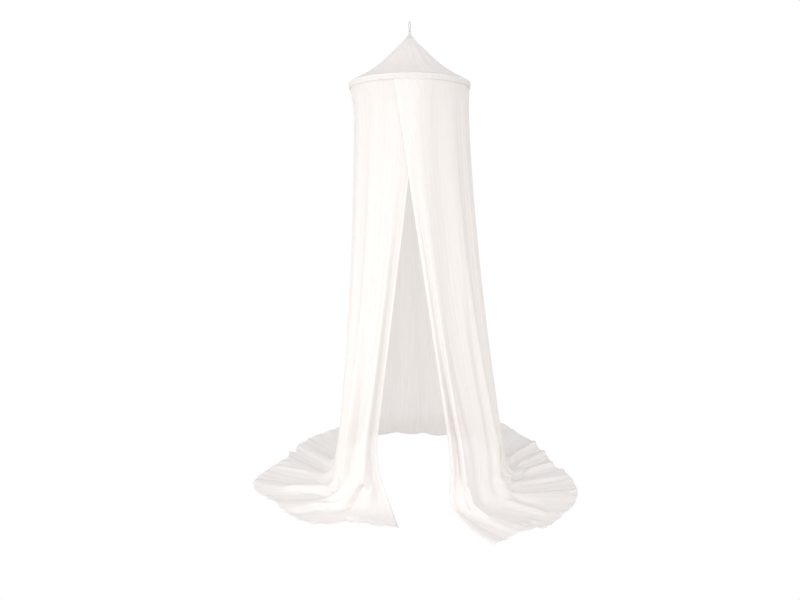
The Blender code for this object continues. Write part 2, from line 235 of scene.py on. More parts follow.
CREASES = (
    # Left leg: three troughs that come down the leg and turn out to the left on the floor
    Crease(
        -0.023, 0.018, 0.50, 2.30,
        (0.116, 0.112, 0.106, 0.130, 0.143, 0.162, 0.171, 0.176, 0.180, 0.182),
    ),
    Crease(-0.023, 0.014, 0.85, 2.05, (0.006, 0.057, 0.071, 0.078, 0.080, 0.085, 0.090)),
    Crease(-0.014, 0.010, 0.93, 1.45, (0.012, 0.040, 0.050, 0.059, 0.066)),
    Crease(0.016, 0.020, 0.55, 2.35, (0.068, 0.062, 0.088, 0.103, 0.116, 0.122)),
    # Left train: folds that run out from the leg's foot
    Crease(-0.012, 0.014, 1.95, 2.40, (0.302, 0.290, 0.280)),
    Crease(-0.016, 0.018, 1.00, 2.70, (0.190, 0.204, 0.222, 0.235, 0.219, 0.214)),
    Crease(0.015, 0.022, 1.20, 2.60, (0.145, 0.188, 0.202, 0.192, 0.186)),
    Crease(-0.010, 0.016, 1.85, 2.85, (0.163, 0.166, 0.160, 0.155)),
    Crease(-0.012, 0.018, 2.00, 2.95, (0.102, 0.107, 0.109, 0.110)),
    Crease(-0.006, 0.012, 2.30, 3.10, (0.053, 0.047, 0.042)),
    Crease(-0.006, 0.008, 2.30, 3.10, (0.030, 0.026, 0.024)),
    Crease(0.009, 0.010, 2.10, 3.10, (0.256, 0.250, 0.246)),
    # Right leg: the narrow bright ridge with a dark crease beside it, and two troughs next to it
    Crease(
        0.020, 0.012, 0.50, 2.30,
        (0.962, 0.962, 0.961, 0.948, 0.946, 0.949, 0.953, 0.955, 0.956, 0.957),
    ),
    Crease(-0.018, 0.008, 0.57, 1.95, (0.985, 0.978, 0.962, 0.954, 0.957, 0.960, 0.963)),
    Crease(-0.014, 0.016, 0.50, 1.75, (0.938, 0.934, 0.919, 0.911, 0.915, 0.918)),
    Crease(-0.023, 0.024, 0.45, 1.60, (0.856, 0.859, 0.864, 0.866, 0.871)),
    # Right leg's outer flap, which ends in a deep crease over the train
    Crease(0.010, 0.022, 0.755, 0.870, (1.65, 1.40, 1.12, 0.92, 0.90), Runs.ACROSS),
    Crease(-0.011, 0.011, 0.755, 0.870, (1.90, 1.62, 1.25, 1.03, 0.98), Runs.ACROSS),
    Crease(0.009, 0.014, 0.760, 0.870, (2.15, 1.90, 1.50, 1.20, 1.10), Runs.ACROSS),
    # Right train: folds that run out from the leg's foot
    Crease(-0.014, 0.016, 1.60, 2.85, (0.846, 0.854, 0.868, 0.876, 0.888, 0.897)),
    Crease(-0.012, 0.016, 1.70, 2.90, (0.898, 0.906, 0.909, 0.911, 0.918)),
    Crease(0.015, 0.020, 1.60, 2.90, (0.872, 0.880, 0.890, 0.896, 0.902)),
    Crease(-0.009, 0.012, 1.60, 2.95, (0.828, 0.830, 0.832, 0.834)),
    Crease(-0.008, 0.010, 1.70, 2.95, (0.800, 0.802, 0.804, 0.806)),
    # Ruffles pushed together at the right train's front hem
    Crease(0.012, 0.006, 2.45, 3.15, (0.918, 0.923, 0.926)),
    Crease(-0.010, 0.006, 2.50, 3.15, (0.925, 0.930, 0.933)),
    Crease(0.012, 0.006, 2.55, 3.15, (0.932, 0.936, 0.939)),
    Crease(0.010, 0.006, 2.50, 3.15, (0.943, 0.947, 0.950)),
    # Waves of the train behind the right leg
    Crease(0.028, 0.016, 1.90, 3.20, (0.706, 0.708, 0.708)),
    Crease(-0.016, 0.012, 1.90, 3.20, (0.719, 0.722, 0.723)),
    Crease(0.026, 0.014, 1.90, 3.20, (0.733, 0.736, 0.738)),
    Crease(0.022, 0.014, 2.00, 3.20, (0.762, 0.764, 0.768)),
    Crease(-0.010, 0.010, 2.00, 3.20, (0.748, 0.751, 0.753)),
)


def smooth_step(x: Grid) -> Grid:
    """0 below 0 and 1 above 1, with a smooth rise between."""
    x = np.clip(x, 0.0, 1.0)
    return x * x * (3.0 - 2.0 * x)


def step_between(x: Grid, low: float, high: float) -> Grid:
    """0 below low and 1 above high, with a smooth rise between."""
    return smooth_step((x - low) / (high - low))


def between(places: Grid, known_places: Sequence[float], known_values: Sequence[float]) -> Grid:
    """Reads a smooth curve through known values.

    Args:
        places: Where the curve is read.
        known_places: Rising places at which its values are known.
        known_values: The values there.

    Returns:
        The curve's values at places.
    """
    known_places = np.asarray(known_places, float)
    known_values = np.asarray(known_values, float)
    slopes = np.gradient(known_values, known_places)
    i = np.clip(np.searchsorted(known_places, places) - 1, 0, len(known_places) - 2)
    span = known_places[i + 1] - known_places[i]
    t = (places - known_places[i]) / span
    start = (1 + 2 * t) * (1 - t) ** 2 * known_values[i] + t * (1 - t) ** 2 * span * slopes[i]
    end = t * t * (3 - 2 * t) * known_values[i + 1] + t * t * (t - 1) * span * slopes[i + 1]
    return start + end


class Bumps(NamedTuple):
    """A smooth random change over the cloth, the same on every run, with its bumps' number and height."""

    across: int
    down: int
    seed: int
    height: float
    middle: float = 0.0

    def read(self, across: Grid, along: Grid) -> Grid:
        """Reads the change.

        Args:
            across: Shares from 0 to 1 across the cloth.
            along: Shares from 0 to 1 down it.

        Returns:
            One value for each pair of shares.
        """
        lattice = np.random.default_rng(self.seed).uniform(-1.0, 1.0, (self.across + 2, self.down + 2))
        x = np.clip(across, 0.0, 1.0) * self.across
        y = np.clip(along, 0.0, 1.0) * self.down
        column, row = np.floor(x).astype(int), np.floor(y).astype(int)
        right, down = smooth_step(x - column), smooth_step(y - row)
        upper = lattice[column, row] * (1 - right) + lattice[column + 1, row] * right
        lower = lattice[column, row + 1] * (1 - right) + lattice[column + 1, row + 1] * right
        return self.middle + self.height * (upper * (1 - down) + lower * down)

    def at_hem(self, across: Grid) -> Grid:
        """Reads the change at shares across the cloth, the same all the way down it."""
        return self.read(across, np.zeros_like(across))


class Wave(NamedTuple):
    """One wave round the hoop: its height, how many of it fit round, and its phase at the start."""

    height: float
    count: int
    phase: float = 0.0


def waver(angle: Grid, waves: Sequence[Wave]) -> Grid:
    """The sum of a few waves at angles round the hoop, so that gathers there aren't evenly spaced."""
    return sum(wave.height * np.sin(wave.count * angle + wave.phase) for wave in waves)


def grid_normals(points: Grid) -> Grid:
    """Outward unit normals of a grid of points.

    Args:
        points: Rows down the cloth, columns across it, and three places each.

    Returns:
        An array of the same shape.
    """
    normals = np.cross(np.gradient(points, axis=1), np.gradient(points, axis=0))
    return normals / np.linalg.norm(normals, axis=-1, keepdims=True)


def link_object(name: str, mesh: bpy.types.Mesh) -> bpy.types.Object:
    """Puts a mesh in the scene.

    Args:
        name: The object's name.
        mesh: Its mesh.

    Returns:
        The object.
    """
    obj = bpy.data.objects.new(name, mesh)
    bpy.context.scene.collection.objects.link(obj)
    return obj


def grid_object(name: str, points: Grid, place: Grid, closed: bool = False) -> bpy.types.Object:
    """Makes an open sheet from a grid of points, with its own UV map.

    Args:
        name: The object's name.
        points: Rows down the cloth, columns across it, and three places each.
        place: The same grid's places on the flat cloth, as shares from 0 to 1.
        closed: Whether the last column meets the first one. Points then holds each meeting place once.

    Returns:
        The sheet, shaded smooth, with faces outwards.
    """
    rows, columns = points.shape[:2]
    index = np.arange(rows * columns).reshape(rows, columns)
    right = np.roll(index, -1, axis=1) if closed else index[:, 1:]
    left = index if closed else index[:, :-1]
    corners = np.stack([left[:-1], right[:-1], right[1:], left[1:]], axis=-1)[..., ::-1].reshape(-1, 4)
    mesh = bpy.data.meshes.new(name)
    mesh.from_pydata(points.reshape(-1, 3).tolist(), [], corners.tolist())
    flat = place.reshape(-1, 2)
    texture_place = flat[corners.reshape(-1)].reshape(-1, 4, 2)
    if closed:
        wraps = (texture_place[..., 0].max(axis=1) - texture_place[..., 0].min(axis=1)) > 0.5
        low = texture_place[wraps, :, 0] < 0.5
        texture_place[wraps, :, 0] += low
    mesh.uv_layers.new(name="cloth").data.foreach_set("uv", texture_place.reshape(-1))
    mesh.shade_smooth()
    return link_object(name, mesh)


def apply_modifiers(obj: bpy.types.Object) -> bpy.types.Object:
    """Turns what an object's modifiers make into its plain mesh.

    Args:
        obj: The object.

    Returns:
        The same object.
    """
    graph = bpy.context.evaluated_depsgraph_get()
    made = bpy.data.meshes.new_from_object(obj.evaluated_get(graph), depsgraph=graph)
    made.name = obj.name
    obj.modifiers.clear()
    obj.data = made
    return obj


def thicken(
    obj: bpy.types.Object, thickness: float, thin_share: float = 1.0, thick: Grid | None = None
) -> None:
    """Gives a sheet its thickness, half on each side.

    Args:
        obj: The sheet.
        thickness: Its greatest thickness.
        thin_share: The share of it that the thinnest cloth has.
        thick: From 0 for the thinnest cloth to 1 for the thickest, for each vertex.
    """
    solidify = obj.modifiers.new("thickness", "SOLIDIFY")
    solidify.thickness = thickness
    solidify.offset = 0.0
    if thick is not None:
        group = obj.vertex_groups.new(name="thickness")
        weights = thin_share + (1.0 - thin_share) * thick.reshape(-1)
        for i, weight in enumerate(weights.tolist()):
            group.add([i], weight, "REPLACE")
        solidify.vertex_group = group.name
    apply_modifiers(obj)
    obj.vertex_groups.clear()


def finish_piece(
    obj: bpy.types.Object, material: bpy.types.Material, replaces: str | None = None
) -> bpy.types.Object:
    """Gives a piece its material and slot, and makes it ride on the canopy's body.

    Args:
        obj: The piece.
        material: Its material.
        replaces: The CAD node that it stands in for.

    Returns:
        The piece.
    """
    obj.data.materials.clear()
    obj.data.materials.append(material)
    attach(obj, BODY)
    if replaces:
        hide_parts(replaces)
    LOG.info("%s: %d faces", obj.name, len(obj.data.polygons))
    return obj


Tree = bpy.types.NodeTree
Socket = bpy.types.NodeSocket
Inputs = bpy.types.NodeInputs
Outputs = bpy.types.NodeOutputs
Colour = tuple[float, float, float]
WHITE = (1.0, 1.0, 1.0, 1.0)
# The places of a colour Mix node's sockets, whose names it gives to other kinds of socket too
MIX_FACTOR, MIX_FIRST, MIX_SECOND, MIX_RESULT = 0, 6, 7, 2
# The same for a Random Value node's sockets for plain numbers
RANDOM_LOW, RANDOM_HIGH, RANDOM_RESULT = 2, 3, 1


def set_inputs(tree: Tree, node: bpy.types.Node, inputs: dict) -> None:
    """Sets or links a node's inputs.

    Args:
        tree: The tree that it is in.
        node: The node.
        inputs: Values, or sockets to link, by input name or number.
    """
    for key, value in inputs.items():
        if isinstance(value, Socket):
            tree.links.new(value, node.inputs[key])
        else:
            node.inputs[key].default_value = value


def add_node(tree: Tree, kind: str, inputs: dict | None = None, **settings: object) -> bpy.types.Node:
    """Adds a node.

    Args:
        tree: The tree that it goes in.
        kind: Its type.
        inputs: Values, or sockets to link, by input name or number.
        **settings: The node's own settings.

    Returns:
        The node.
    """
    made = tree.nodes.new(kind)
    for key, value in settings.items():
        setattr(made, key, value)
    set_inputs(tree, made, inputs or {})
    return made


def calculate(tree: Tree, operation: str, first: Socket | float, second: Socket | float = 0.0) -> Socket:
    """The result of one Math node."""
    return add_node(tree, "ShaderNodeMath", {0: first, 1: second}, operation=operation).outputs[0]


def start_material(name: str) -> tuple[bpy.types.Material, Tree, bpy.types.Node]:
    """Starts a material.

    Args:
        name: Its name.

    Returns:
        The material, its tree and its Principled shader.
    """
    material = bpy.data.materials.new(name)
    material.use_nodes = True
    return material, material.node_tree, material.node_tree.nodes["Principled BSDF"]


def two_tone(tree: Tree, tone: Socket, shade: Colour, light: Colour, span: tuple[float, float]) -> Socket:
    """Mixes two colours by a tone.

    Args:
        tree: The tree.
        tone: The tone.
        shade: The colour up to the low end of the span.
        light: The colour from its high end on.
        span: The tones between which the colour changes.

    Returns:
        The colour.
    """
    ramp = add_node(tree, "ShaderNodeValToRGB", {0: tone})
    for stop, place, colour in zip(ramp.color_ramp.elements, span, (shade, light)):
        stop.position = place
        stop.color = (*colour, 1.0)
    return ramp.outputs["Color"]


def lumps(tree: Tree, size: float, detail: float, distortion: float = 0.0) -> Socket:
    """Makes noise on a piece's place in space, so that it needs no UV map.

    Args:
        tree: The material's tree.
        size: The size of its lumps.
        detail: How much finer noise lies on them.
        distortion: How far they are twisted.

    Returns:
        The noise.
    """
    place = add_node(tree, "ShaderNodeTexCoord").outputs["Object"]
    values = {"Vector": place, "Scale": 1.0 / size, "Detail": detail, "Distortion": distortion}
    return add_node(tree, "ShaderNodeTexNoise", values).outputs[0]


def relief(tree: Tree, depth: float, height: Socket) -> Socket:
    """The normal of a surface with that depth of relief."""
    return add_node(tree, "ShaderNodeBump", {"Distance": depth, "Height": height}).outputs[0]


def white_to_camera(tree: Tree, kind: str, otherwise: Socket) -> Socket:
    """A shader that is plain white to the camera and another one to the light.

    Args:
        tree: The material's or world's tree.
        kind: The type of the white shader.
        otherwise: The shader that the light meets.

    Returns:
        The mixed shader.
    """
    white = add_node(tree, kind, {"Color": WHITE, "Strength": 1.0}).outputs[0]
    seen = add_node(tree, "ShaderNodeLightPath").outputs["Is Camera Ray"]
    return add_node(tree, "ShaderNodeMixShader", {0: seen, 1: otherwise, 2: white}).outputs[0]


def new_group(
    name: str, kind: str, takes: dict[str, tuple], gives: dict[str, str]
) -> tuple[Tree, bpy.types.Node, bpy.types.Node]:
    """Starts a node group with named inputs and outputs.

    Args:
        name: The group's name.
        kind: Its tree type.
        takes: Input names with their socket type and default value, None for no default.
        gives: Output names with their socket type.

    Returns:
        The tree, its input node and its output node.
    """
    tree = bpy.data.node_groups.new(name, kind)
    for label, (socket_type, value) in takes.items():
        socket = tree.interface.new_socket(label, in_out="INPUT", socket_type=socket_type)
        if value is not None:
            socket.default_value = value
    for label, socket_type in gives.items():
        tree.interface.new_socket(label, in_out="OUTPUT", socket_type=socket_type)
    return tree, tree.nodes.new("NodeGroupInput"), tree.nodes.new("NodeGroupOutput")


def cloth_group(
    name: str, takes: dict[str, float], gives: Sequence[str]
) -> tuple[Tree, Outputs, Inputs, list[Socket]]:
    """Starts a shader group that reads a place on the flat cloth.

    Args:
        name: The group's name.
        takes: The inputs that it has besides the place and the cloth's size, with their default values.
        gives: Its outputs.

    Returns:
        The tree, what it is given, what it gives, and how far across and down the cloth the place is.
    """
    inputs = {"Place": ("NodeSocketVector", None)}
    for label, value in {"Cloth Width": 5.0, "Cloth Length": 2.4, **takes}.items():
        inputs[label] = ("NodeSocketFloat", value)
    outputs = dict.fromkeys(gives, "NodeSocketFloat")
    tree, given, result = new_group(name, "ShaderNodeTree", inputs, outputs)
    place = add_node(tree, "ShaderNodeSeparateXYZ", {0: given.outputs["Place"]}).outputs
    across = calculate(tree, "MULTIPLY", place["X"], given.outputs["Cloth Width"])
    along = calculate(tree, "MULTIPLY", place["Y"], given.outputs["Cloth Length"])
    return tree, given.outputs, result.inputs, [across, along]


def crinkle_group() -> Tree:
    """Crinkle of net: streaks that run down the cloth, broad and fine, with a slow change of tone under them.

    Returns:
        The group, built once.
    """
    name = "net_crinkle"
    if name in bpy.data.node_groups:
        return bpy.data.node_groups[name]
    takes = {"Streak Width": 0.012, "Streak Length": 0.20, "Patch Size": 0.30}
    tree, given, result, place = cloth_group(name, takes, ("Streaks", "Patches"))
    masks = (("Streaks", "Streak Width", "Streak Length", 3.0), ("Patches", "Patch Size", "Patch Size", 2.0))
    for output, width, length, detail in masks:
        x, y = (calculate(tree, "DIVIDE", way, given[size]) for way, size in zip(place, (width, length)))
        spot = add_node(tree, "ShaderNodeCombineXYZ", {"X": x, "Y": y}).outputs[0]
        values = {"Vector": spot, "Scale": 1.0, "Detail": detail, "Roughness": 0.6}
        noise = add_node(tree, "ShaderNodeTexNoise", values, noise_dimensions="2D").outputs[0]
        tree.links.new(noise, result[output])
    return tree


def weave_group() -> Tree:
    """Plain weave of net: rounded threads across and along, 1 on their middles, with open holes between them.

    Returns:
        The group, built once.
    """
    name = "net_weave"
    if name in bpy.data.node_groups:
        return bpy.data.node_groups[name]
    tree, given, result, place = cloth_group(name, {"Thread Pitch": 0.0012}, ("Threads",))
    turn = calculate(tree, "DIVIDE", math.pi, given["Thread Pitch"])
    waves = [calculate(tree, "SINE", calculate(tree, "MULTIPLY", way, turn)) for way in place]
    warp, weft = (calculate(tree, "ABSOLUTE", wave) for wave in waves)
    tree.links.new(calculate(tree, "MAXIMUM", warp, weft), result["Threads"])
    return tree


@dataclass(frozen=True)
class NetFinish:
    """Sheer white net: light streaks and painted shade in the hollows of its crinkle, threads, denser hems,
    and painted light where another layer lies behind it.
    """

    name: str
    cloth_size: tuple[float, float]
    light: Colour = (0.940, 0.910, 0.892)
    shade: Colour = (0.915, 0.883, 0.863)
    # The colour of the double cloth at hems, and painted light on the front layer where another layer lies
    # behind it
    doubled: Colour = (0.955, 0.930, 0.913)
    tone_span: tuple[float, float] = (0.25, 0.75)
    streaks_in_tone: float = 0.75
    cover: float = 0.62
    cover_of_streaks: float = 0.09
    doubled_cover: float = 0.12
    thread_cover: float = 0.06
    thread_middle: float = 0.8
    light_let_through: float = 0.24
    roughness: float = 0.92
    specular: float = 0.2
    sheen: float = 0.12
    crinkle_depth: float = 0.00045
    thread_depth: float = 0.00012
    thread_bump: float = 0.6
    streak_width: float = 0.016
    streak_length: float = 0.30
    thread_pitch: float = 0.0012

    def material(self) -> bpy.types.Material:
        """Builds the net's material on the cloth's own UV map and its "doubled" attribute, which marks the
        double cloth of hems and the painted light where another layer lies behind.

        Returns:
            The material.
        """
        material, tree, shader = start_material(self.name)
        place = add_node(tree, "ShaderNodeUVMap", uv_map="cloth").outputs[0]
        cloth = {"Place": place, "Cloth Width": self.cloth_size[0], "Cloth Length": self.cloth_size[1]}
        streaky = {**cloth, "Streak Width": self.streak_width, "Streak Length": self.streak_length}
        threaded = {**cloth, "Thread Pitch": self.thread_pitch}
        crinkle = add_node(tree, "ShaderNodeGroup", streaky, node_tree=crinkle_group()).outputs
        weave = add_node(tree, "ShaderNodeGroup", threaded, node_tree=weave_group()).outputs
        doubled = add_node(tree, "ShaderNodeAttribute", attribute_name="doubled").outputs["Fac"]
        own = {
            "Base Color": self.colour(tree, crinkle, doubled),
            "Alpha": self.cover_seen(tree, crinkle, weave, doubled),
            "Normal": self.bumps(tree, crinkle, weave),
            "Roughness": self.roughness,
            "Specular IOR Level": self.specular,
            "Sheen Weight": self.sheen,
        }
        set_inputs(tree, shader, own)
        return material

    def colour(self, tree: Tree, crinkle: Outputs, doubled: Socket) -> Socket:
        """Mixes the net's colour from painted shade in the crinkle's hollows to its light streaks, over a
        random tone from patches, and turns it lighter on the double cloth of hems and, as painted light,
        where another layer lies behind.

        Args:
            tree: The material's tree.
            crinkle: What the crinkle group gives.
            doubled: How far the cloth is double at hems, and how much light is painted where another layer
                lies behind it.

        Returns:
            The colour.
        """
        streaks = calculate(tree, "MULTIPLY", crinkle["Streaks"], self.streaks_in_tone)
        patches = calculate(tree, "MULTIPLY", crinkle["Patches"], 1.0 - self.streaks_in_tone)
        tone = calculate(tree, "ADD", streaks, patches)
        # Painted shade where the streaks are low, in the crinkle's hollows, over a random tone from the
        # patches
        single = two_tone(tree, tone, self.shade, self.light, self.tone_span)
        # Lighter on the double cloth of hems, and painted light where another layer lies behind
        layers = {MIX_FACTOR: doubled, MIX_FIRST: single, MIX_SECOND: (*self.doubled, 1.0)}
        return add_node(tree, "ShaderNodeMix", layers, data_type="RGBA").outputs[MIX_RESULT]

    def cover_seen(self, tree: Tree, crinkle: Outputs, weave: Outputs, doubled: Socket) -> Socket:
        """Works out how much the net covers: more on streaks, threads and hems, and less to light.

        Args:
            tree: The material's tree.
            crinkle: What the crinkle group gives.
            weave: What the weave group gives.
            doubled: How far the cloth is double at hems, and how much light is painted where another layer
                lies behind it.

        Returns:
            The cover, for Alpha.
        """
        off_middle = calculate(tree, "SUBTRACT", crinkle["Streaks"], 0.5)
        threads = calculate(tree, "SUBTRACT", weave["Threads"], self.thread_middle)
        cover = self.cover
        more = {off_middle: self.cover_of_streaks, threads: self.thread_cover, doubled: self.doubled_cover}
        for mask, share in more.items():
            cover = calculate(tree, "ADD", cover, calculate(tree, "MULTIPLY", mask, share))
        seen = add_node(tree, "ShaderNodeLightPath").outputs["Is Camera Ray"]
        unseen = calculate(tree, "SUBTRACT", 1.0, seen)
        let_through = calculate(tree, "MULTIPLY", unseen, self.light_let_through)
        return calculate(tree, "SUBTRACT", cover, let_through)

    def bumps(self, tree: Tree, crinkle: Outputs, weave: Outputs) -> Socket:
        """Lays the relief of the net's crinkle over that of its threads.

        Args:
            tree: The material's tree.
            crinkle: What the crinkle group gives.
            weave: What the weave group gives.

        Returns:
            The normal.
        """
        fine = {"Strength": self.thread_bump, "Distance": self.thread_depth, "Height": weave["Threads"]}
        fine_bump = add_node(tree, "ShaderNodeBump", fine).outputs[0]
        broad = {"Strength": 1.0, "Distance": self.crinkle_depth, "Height": crinkle["Streaks"]}
        return add_node(tree, "ShaderNodeBump", {**broad, "Normal": fine_bump}).outputs[0]


@dataclass(frozen=True)
class ThreadFinish:
    """Spun thread or cord: a twist of fibres that runs round it."""

    name: str
    light: Colour = (0.86, 0.85, 0.84)
    shade: Colour = (0.66, 0.65, 0.64)
    tone_span: tuple[float, float] = (0.3, 0.7)
    roughness: float = 0.85
    specular: float = 0.25
    fibre_size: float = 0.0004
    bump_depth: float = 0.0001

    def material(self) -> bpy.types.Material:
        """Builds the thread's material.

        Returns:
            The material.
        """
        material, tree, shader = start_material(self.name)
        fibres = lumps(tree, self.fibre_size, 2.0, 0.6)
        own = {
            "Base Color": two_tone(tree, fibres, self.shade, self.light, self.tone_span),
            "Normal": relief(tree, self.bump_depth, fibres),
            "Roughness": self.roughness,
            "Specular IOR Level": self.specular,
        }
        set_inputs(tree, shader, own)
        return material


@dataclass(frozen=True)
class TubeFinish:
    """Moulded white plastic with a faint mottle and handling marks in its gloss."""

    name: str
    light: Colour = (0.88, 0.88, 0.86)
    shade: Colour = (0.80, 0.80, 0.78)
    smoothest: float = 0.36
    mottle_roughness: float = 0.12
    mottle_size: float = 0.006
    bump_depth: float = 0.00008

    def material(self) -> bpy.types.Material:
        """Builds the plastic's material.

        Returns:
            The material.
        """
        material, tree, shader = start_material(self.name)
        mottle = lumps(tree, self.mottle_size, 4.0)
        added = calculate(tree, "MULTIPLY", mottle, self.mottle_roughness)
        own = {
            "Base Color": two_tone(tree, mottle, self.shade, self.light, (0.0, 1.0)),
            "Normal": relief(tree, self.bump_depth, mottle),
            "Roughness": calculate(tree, "ADD", self.smoothest, added),
        }
        set_inputs(tree, shader, own)
        return material


def stitch_tree() -> Tree:
    """Geometry Nodes that lay stitches end to end along a line, each a little different from the next.

    Returns:
        The tree, built once.
    """
    name = "row_of_stitches"
    if name in bpy.data.node_groups:
        return bpy.data.node_groups[name]
    takes = {
        "Line": ("NodeSocketGeometry", None),
        "Pitch": ("NodeSocketFloat", 0.0045),
        "Length": ("NodeSocketFloat", 0.003),
        "Width": ("NodeSocketFloat", 0.0005),
        "Unevenness": ("NodeSocketFloat", 0.15),
        "Seed": ("NodeSocketInt", 3),
        "Thread": ("NodeSocketMaterial", None),
    }
    tree, given, result = new_group(name, "GeometryNodeTree", takes, {"Stitches": "NodeSocketGeometry"})
    given = given.outputs

    def step(kind: str, inputs: dict | None = None, **settings: object) -> Socket:
        """Adds a node and gives its first output."""
        return add_node(tree, kind, inputs, **settings).outputs[0]

    curve = step("GeometryNodeMeshToCurve", {0: given["Line"]})
    spaced = step("GeometryNodeResampleCurve", {"Curve": curve, "Length": given["Pitch"]}, mode="LENGTH")
    outwards = step("GeometryNodeInputNamedAttribute", {"Name": "outwards"}, data_type="FLOAT_VECTOR")
    along = step("FunctionNodeAlignRotationToVector", {"Vector": step("GeometryNodeInputTangent")}, axis="X")
    turned = {"Rotation": along, "Vector": outwards}
    upright = step("FunctionNodeAlignRotationToVector", turned, axis="Z", pivot_axis="X")
    low = calculate(tree, "SUBTRACT", 1.0, given["Unevenness"])
    high = calculate(tree, "ADD", 1.0, given["Unevenness"])
    limits = {RANDOM_LOW: low, RANDOM_HIGH: high, "Seed": given["Seed"]}
    change = add_node(tree, "FunctionNodeRandomValue", limits, data_type="FLOAT").outputs[RANDOM_RESULT]
    length = calculate(tree, "MULTIPLY", given["Length"], change)
    size = step("ShaderNodeCombineXYZ", {"X": length, "Y": given["Width"], "Z": given["Width"]})
    stitch = step("GeometryNodeMeshUVSphere", {"Segments": 6, "Rings": 4, "Radius": 0.5})
    laid = {"Points": spaced, "Instance": stitch, "Rotation": upright, "Scale": size}
    real = step("GeometryNodeRealizeInstances", {0: step("GeometryNodeInstanceOnPoints", laid)})
    smooth = step("GeometryNodeSetShadeSmooth", {0: real})
    dressed = step("GeometryNodeSetMaterial", {"Geometry": smooth, "Material": given["Thread"]})
    tree.links.new(dressed, result.inputs[0])
    return tree


@dataclass(frozen=True)
class Stitching:
    """Sewing thread in a row of stitches."""

    thread: bpy.types.Material
    pitch: float = 0.0046
    length: float = 0.0034
    width: float = 0.00055
    unevenness: float = 0.14
    seed: int = 11

    def sew(
        self, name: str, points: Grid, outwards: Grid, slot: Slot, closed: bool = False
    ) -> bpy.types.Object:
        """Lays a row of stitches along a line.

        Args:
            name: The piece's name.
            points: The line's points.
            outwards: The cloth's outward direction at each.
            slot: Not used.
            closed: Whether the line ends where it starts.

        Returns:
            The row of stitches as one plain mesh.
        """
        last = len(points) - 1
        edges = [(i, i + 1) for i in range(last)] + ([(last, 0)] if closed else [])
        mesh = bpy.data.meshes.new(name)
        mesh.from_pydata(points.tolist(), edges, [])
        up_at = mesh.attributes.new("outwards", "FLOAT_VECTOR", "POINT")
        up_at.data.foreach_set("vector", outwards.reshape(-1))
        row = link_object(name, mesh)
        modifier = row.modifiers.new("stitches", "NODES")
        modifier.node_group = stitch_tree()
        values = {
            "Pitch": self.pitch,
            "Length": self.length,
            "Width": self.width,
            "Unevenness": self.unevenness,
            "Seed": self.seed,
            "Thread": self.thread,
        }
        for socket in modifier.node_group.interface.items_tree:
            if socket.in_out == "INPUT" and socket.name in values:
                modifier[socket.identifier] = values[socket.name]
        apply_modifiers(row)
        return finish_piece(row, self.thread)


class Places(NamedTuple):
    """A grid of places on the wall, with rows down it and columns across it.

    Shares go from 0 at the left free edge to 1 at the right one. Stages from 0 to 1 hang, from 1 to 2 bend
    and from 2 to 3 lie on the floor. Turns say how many crests of main folds lie before a place.
    """

    share: Grid
    stage: Grid
    turns: Grid

    @property
    def from_edge(self) -> Grid:
        """Shares of the wall between each place and the nearer free edge."""
        return np.minimum(self.share, 1.0 - self.share)


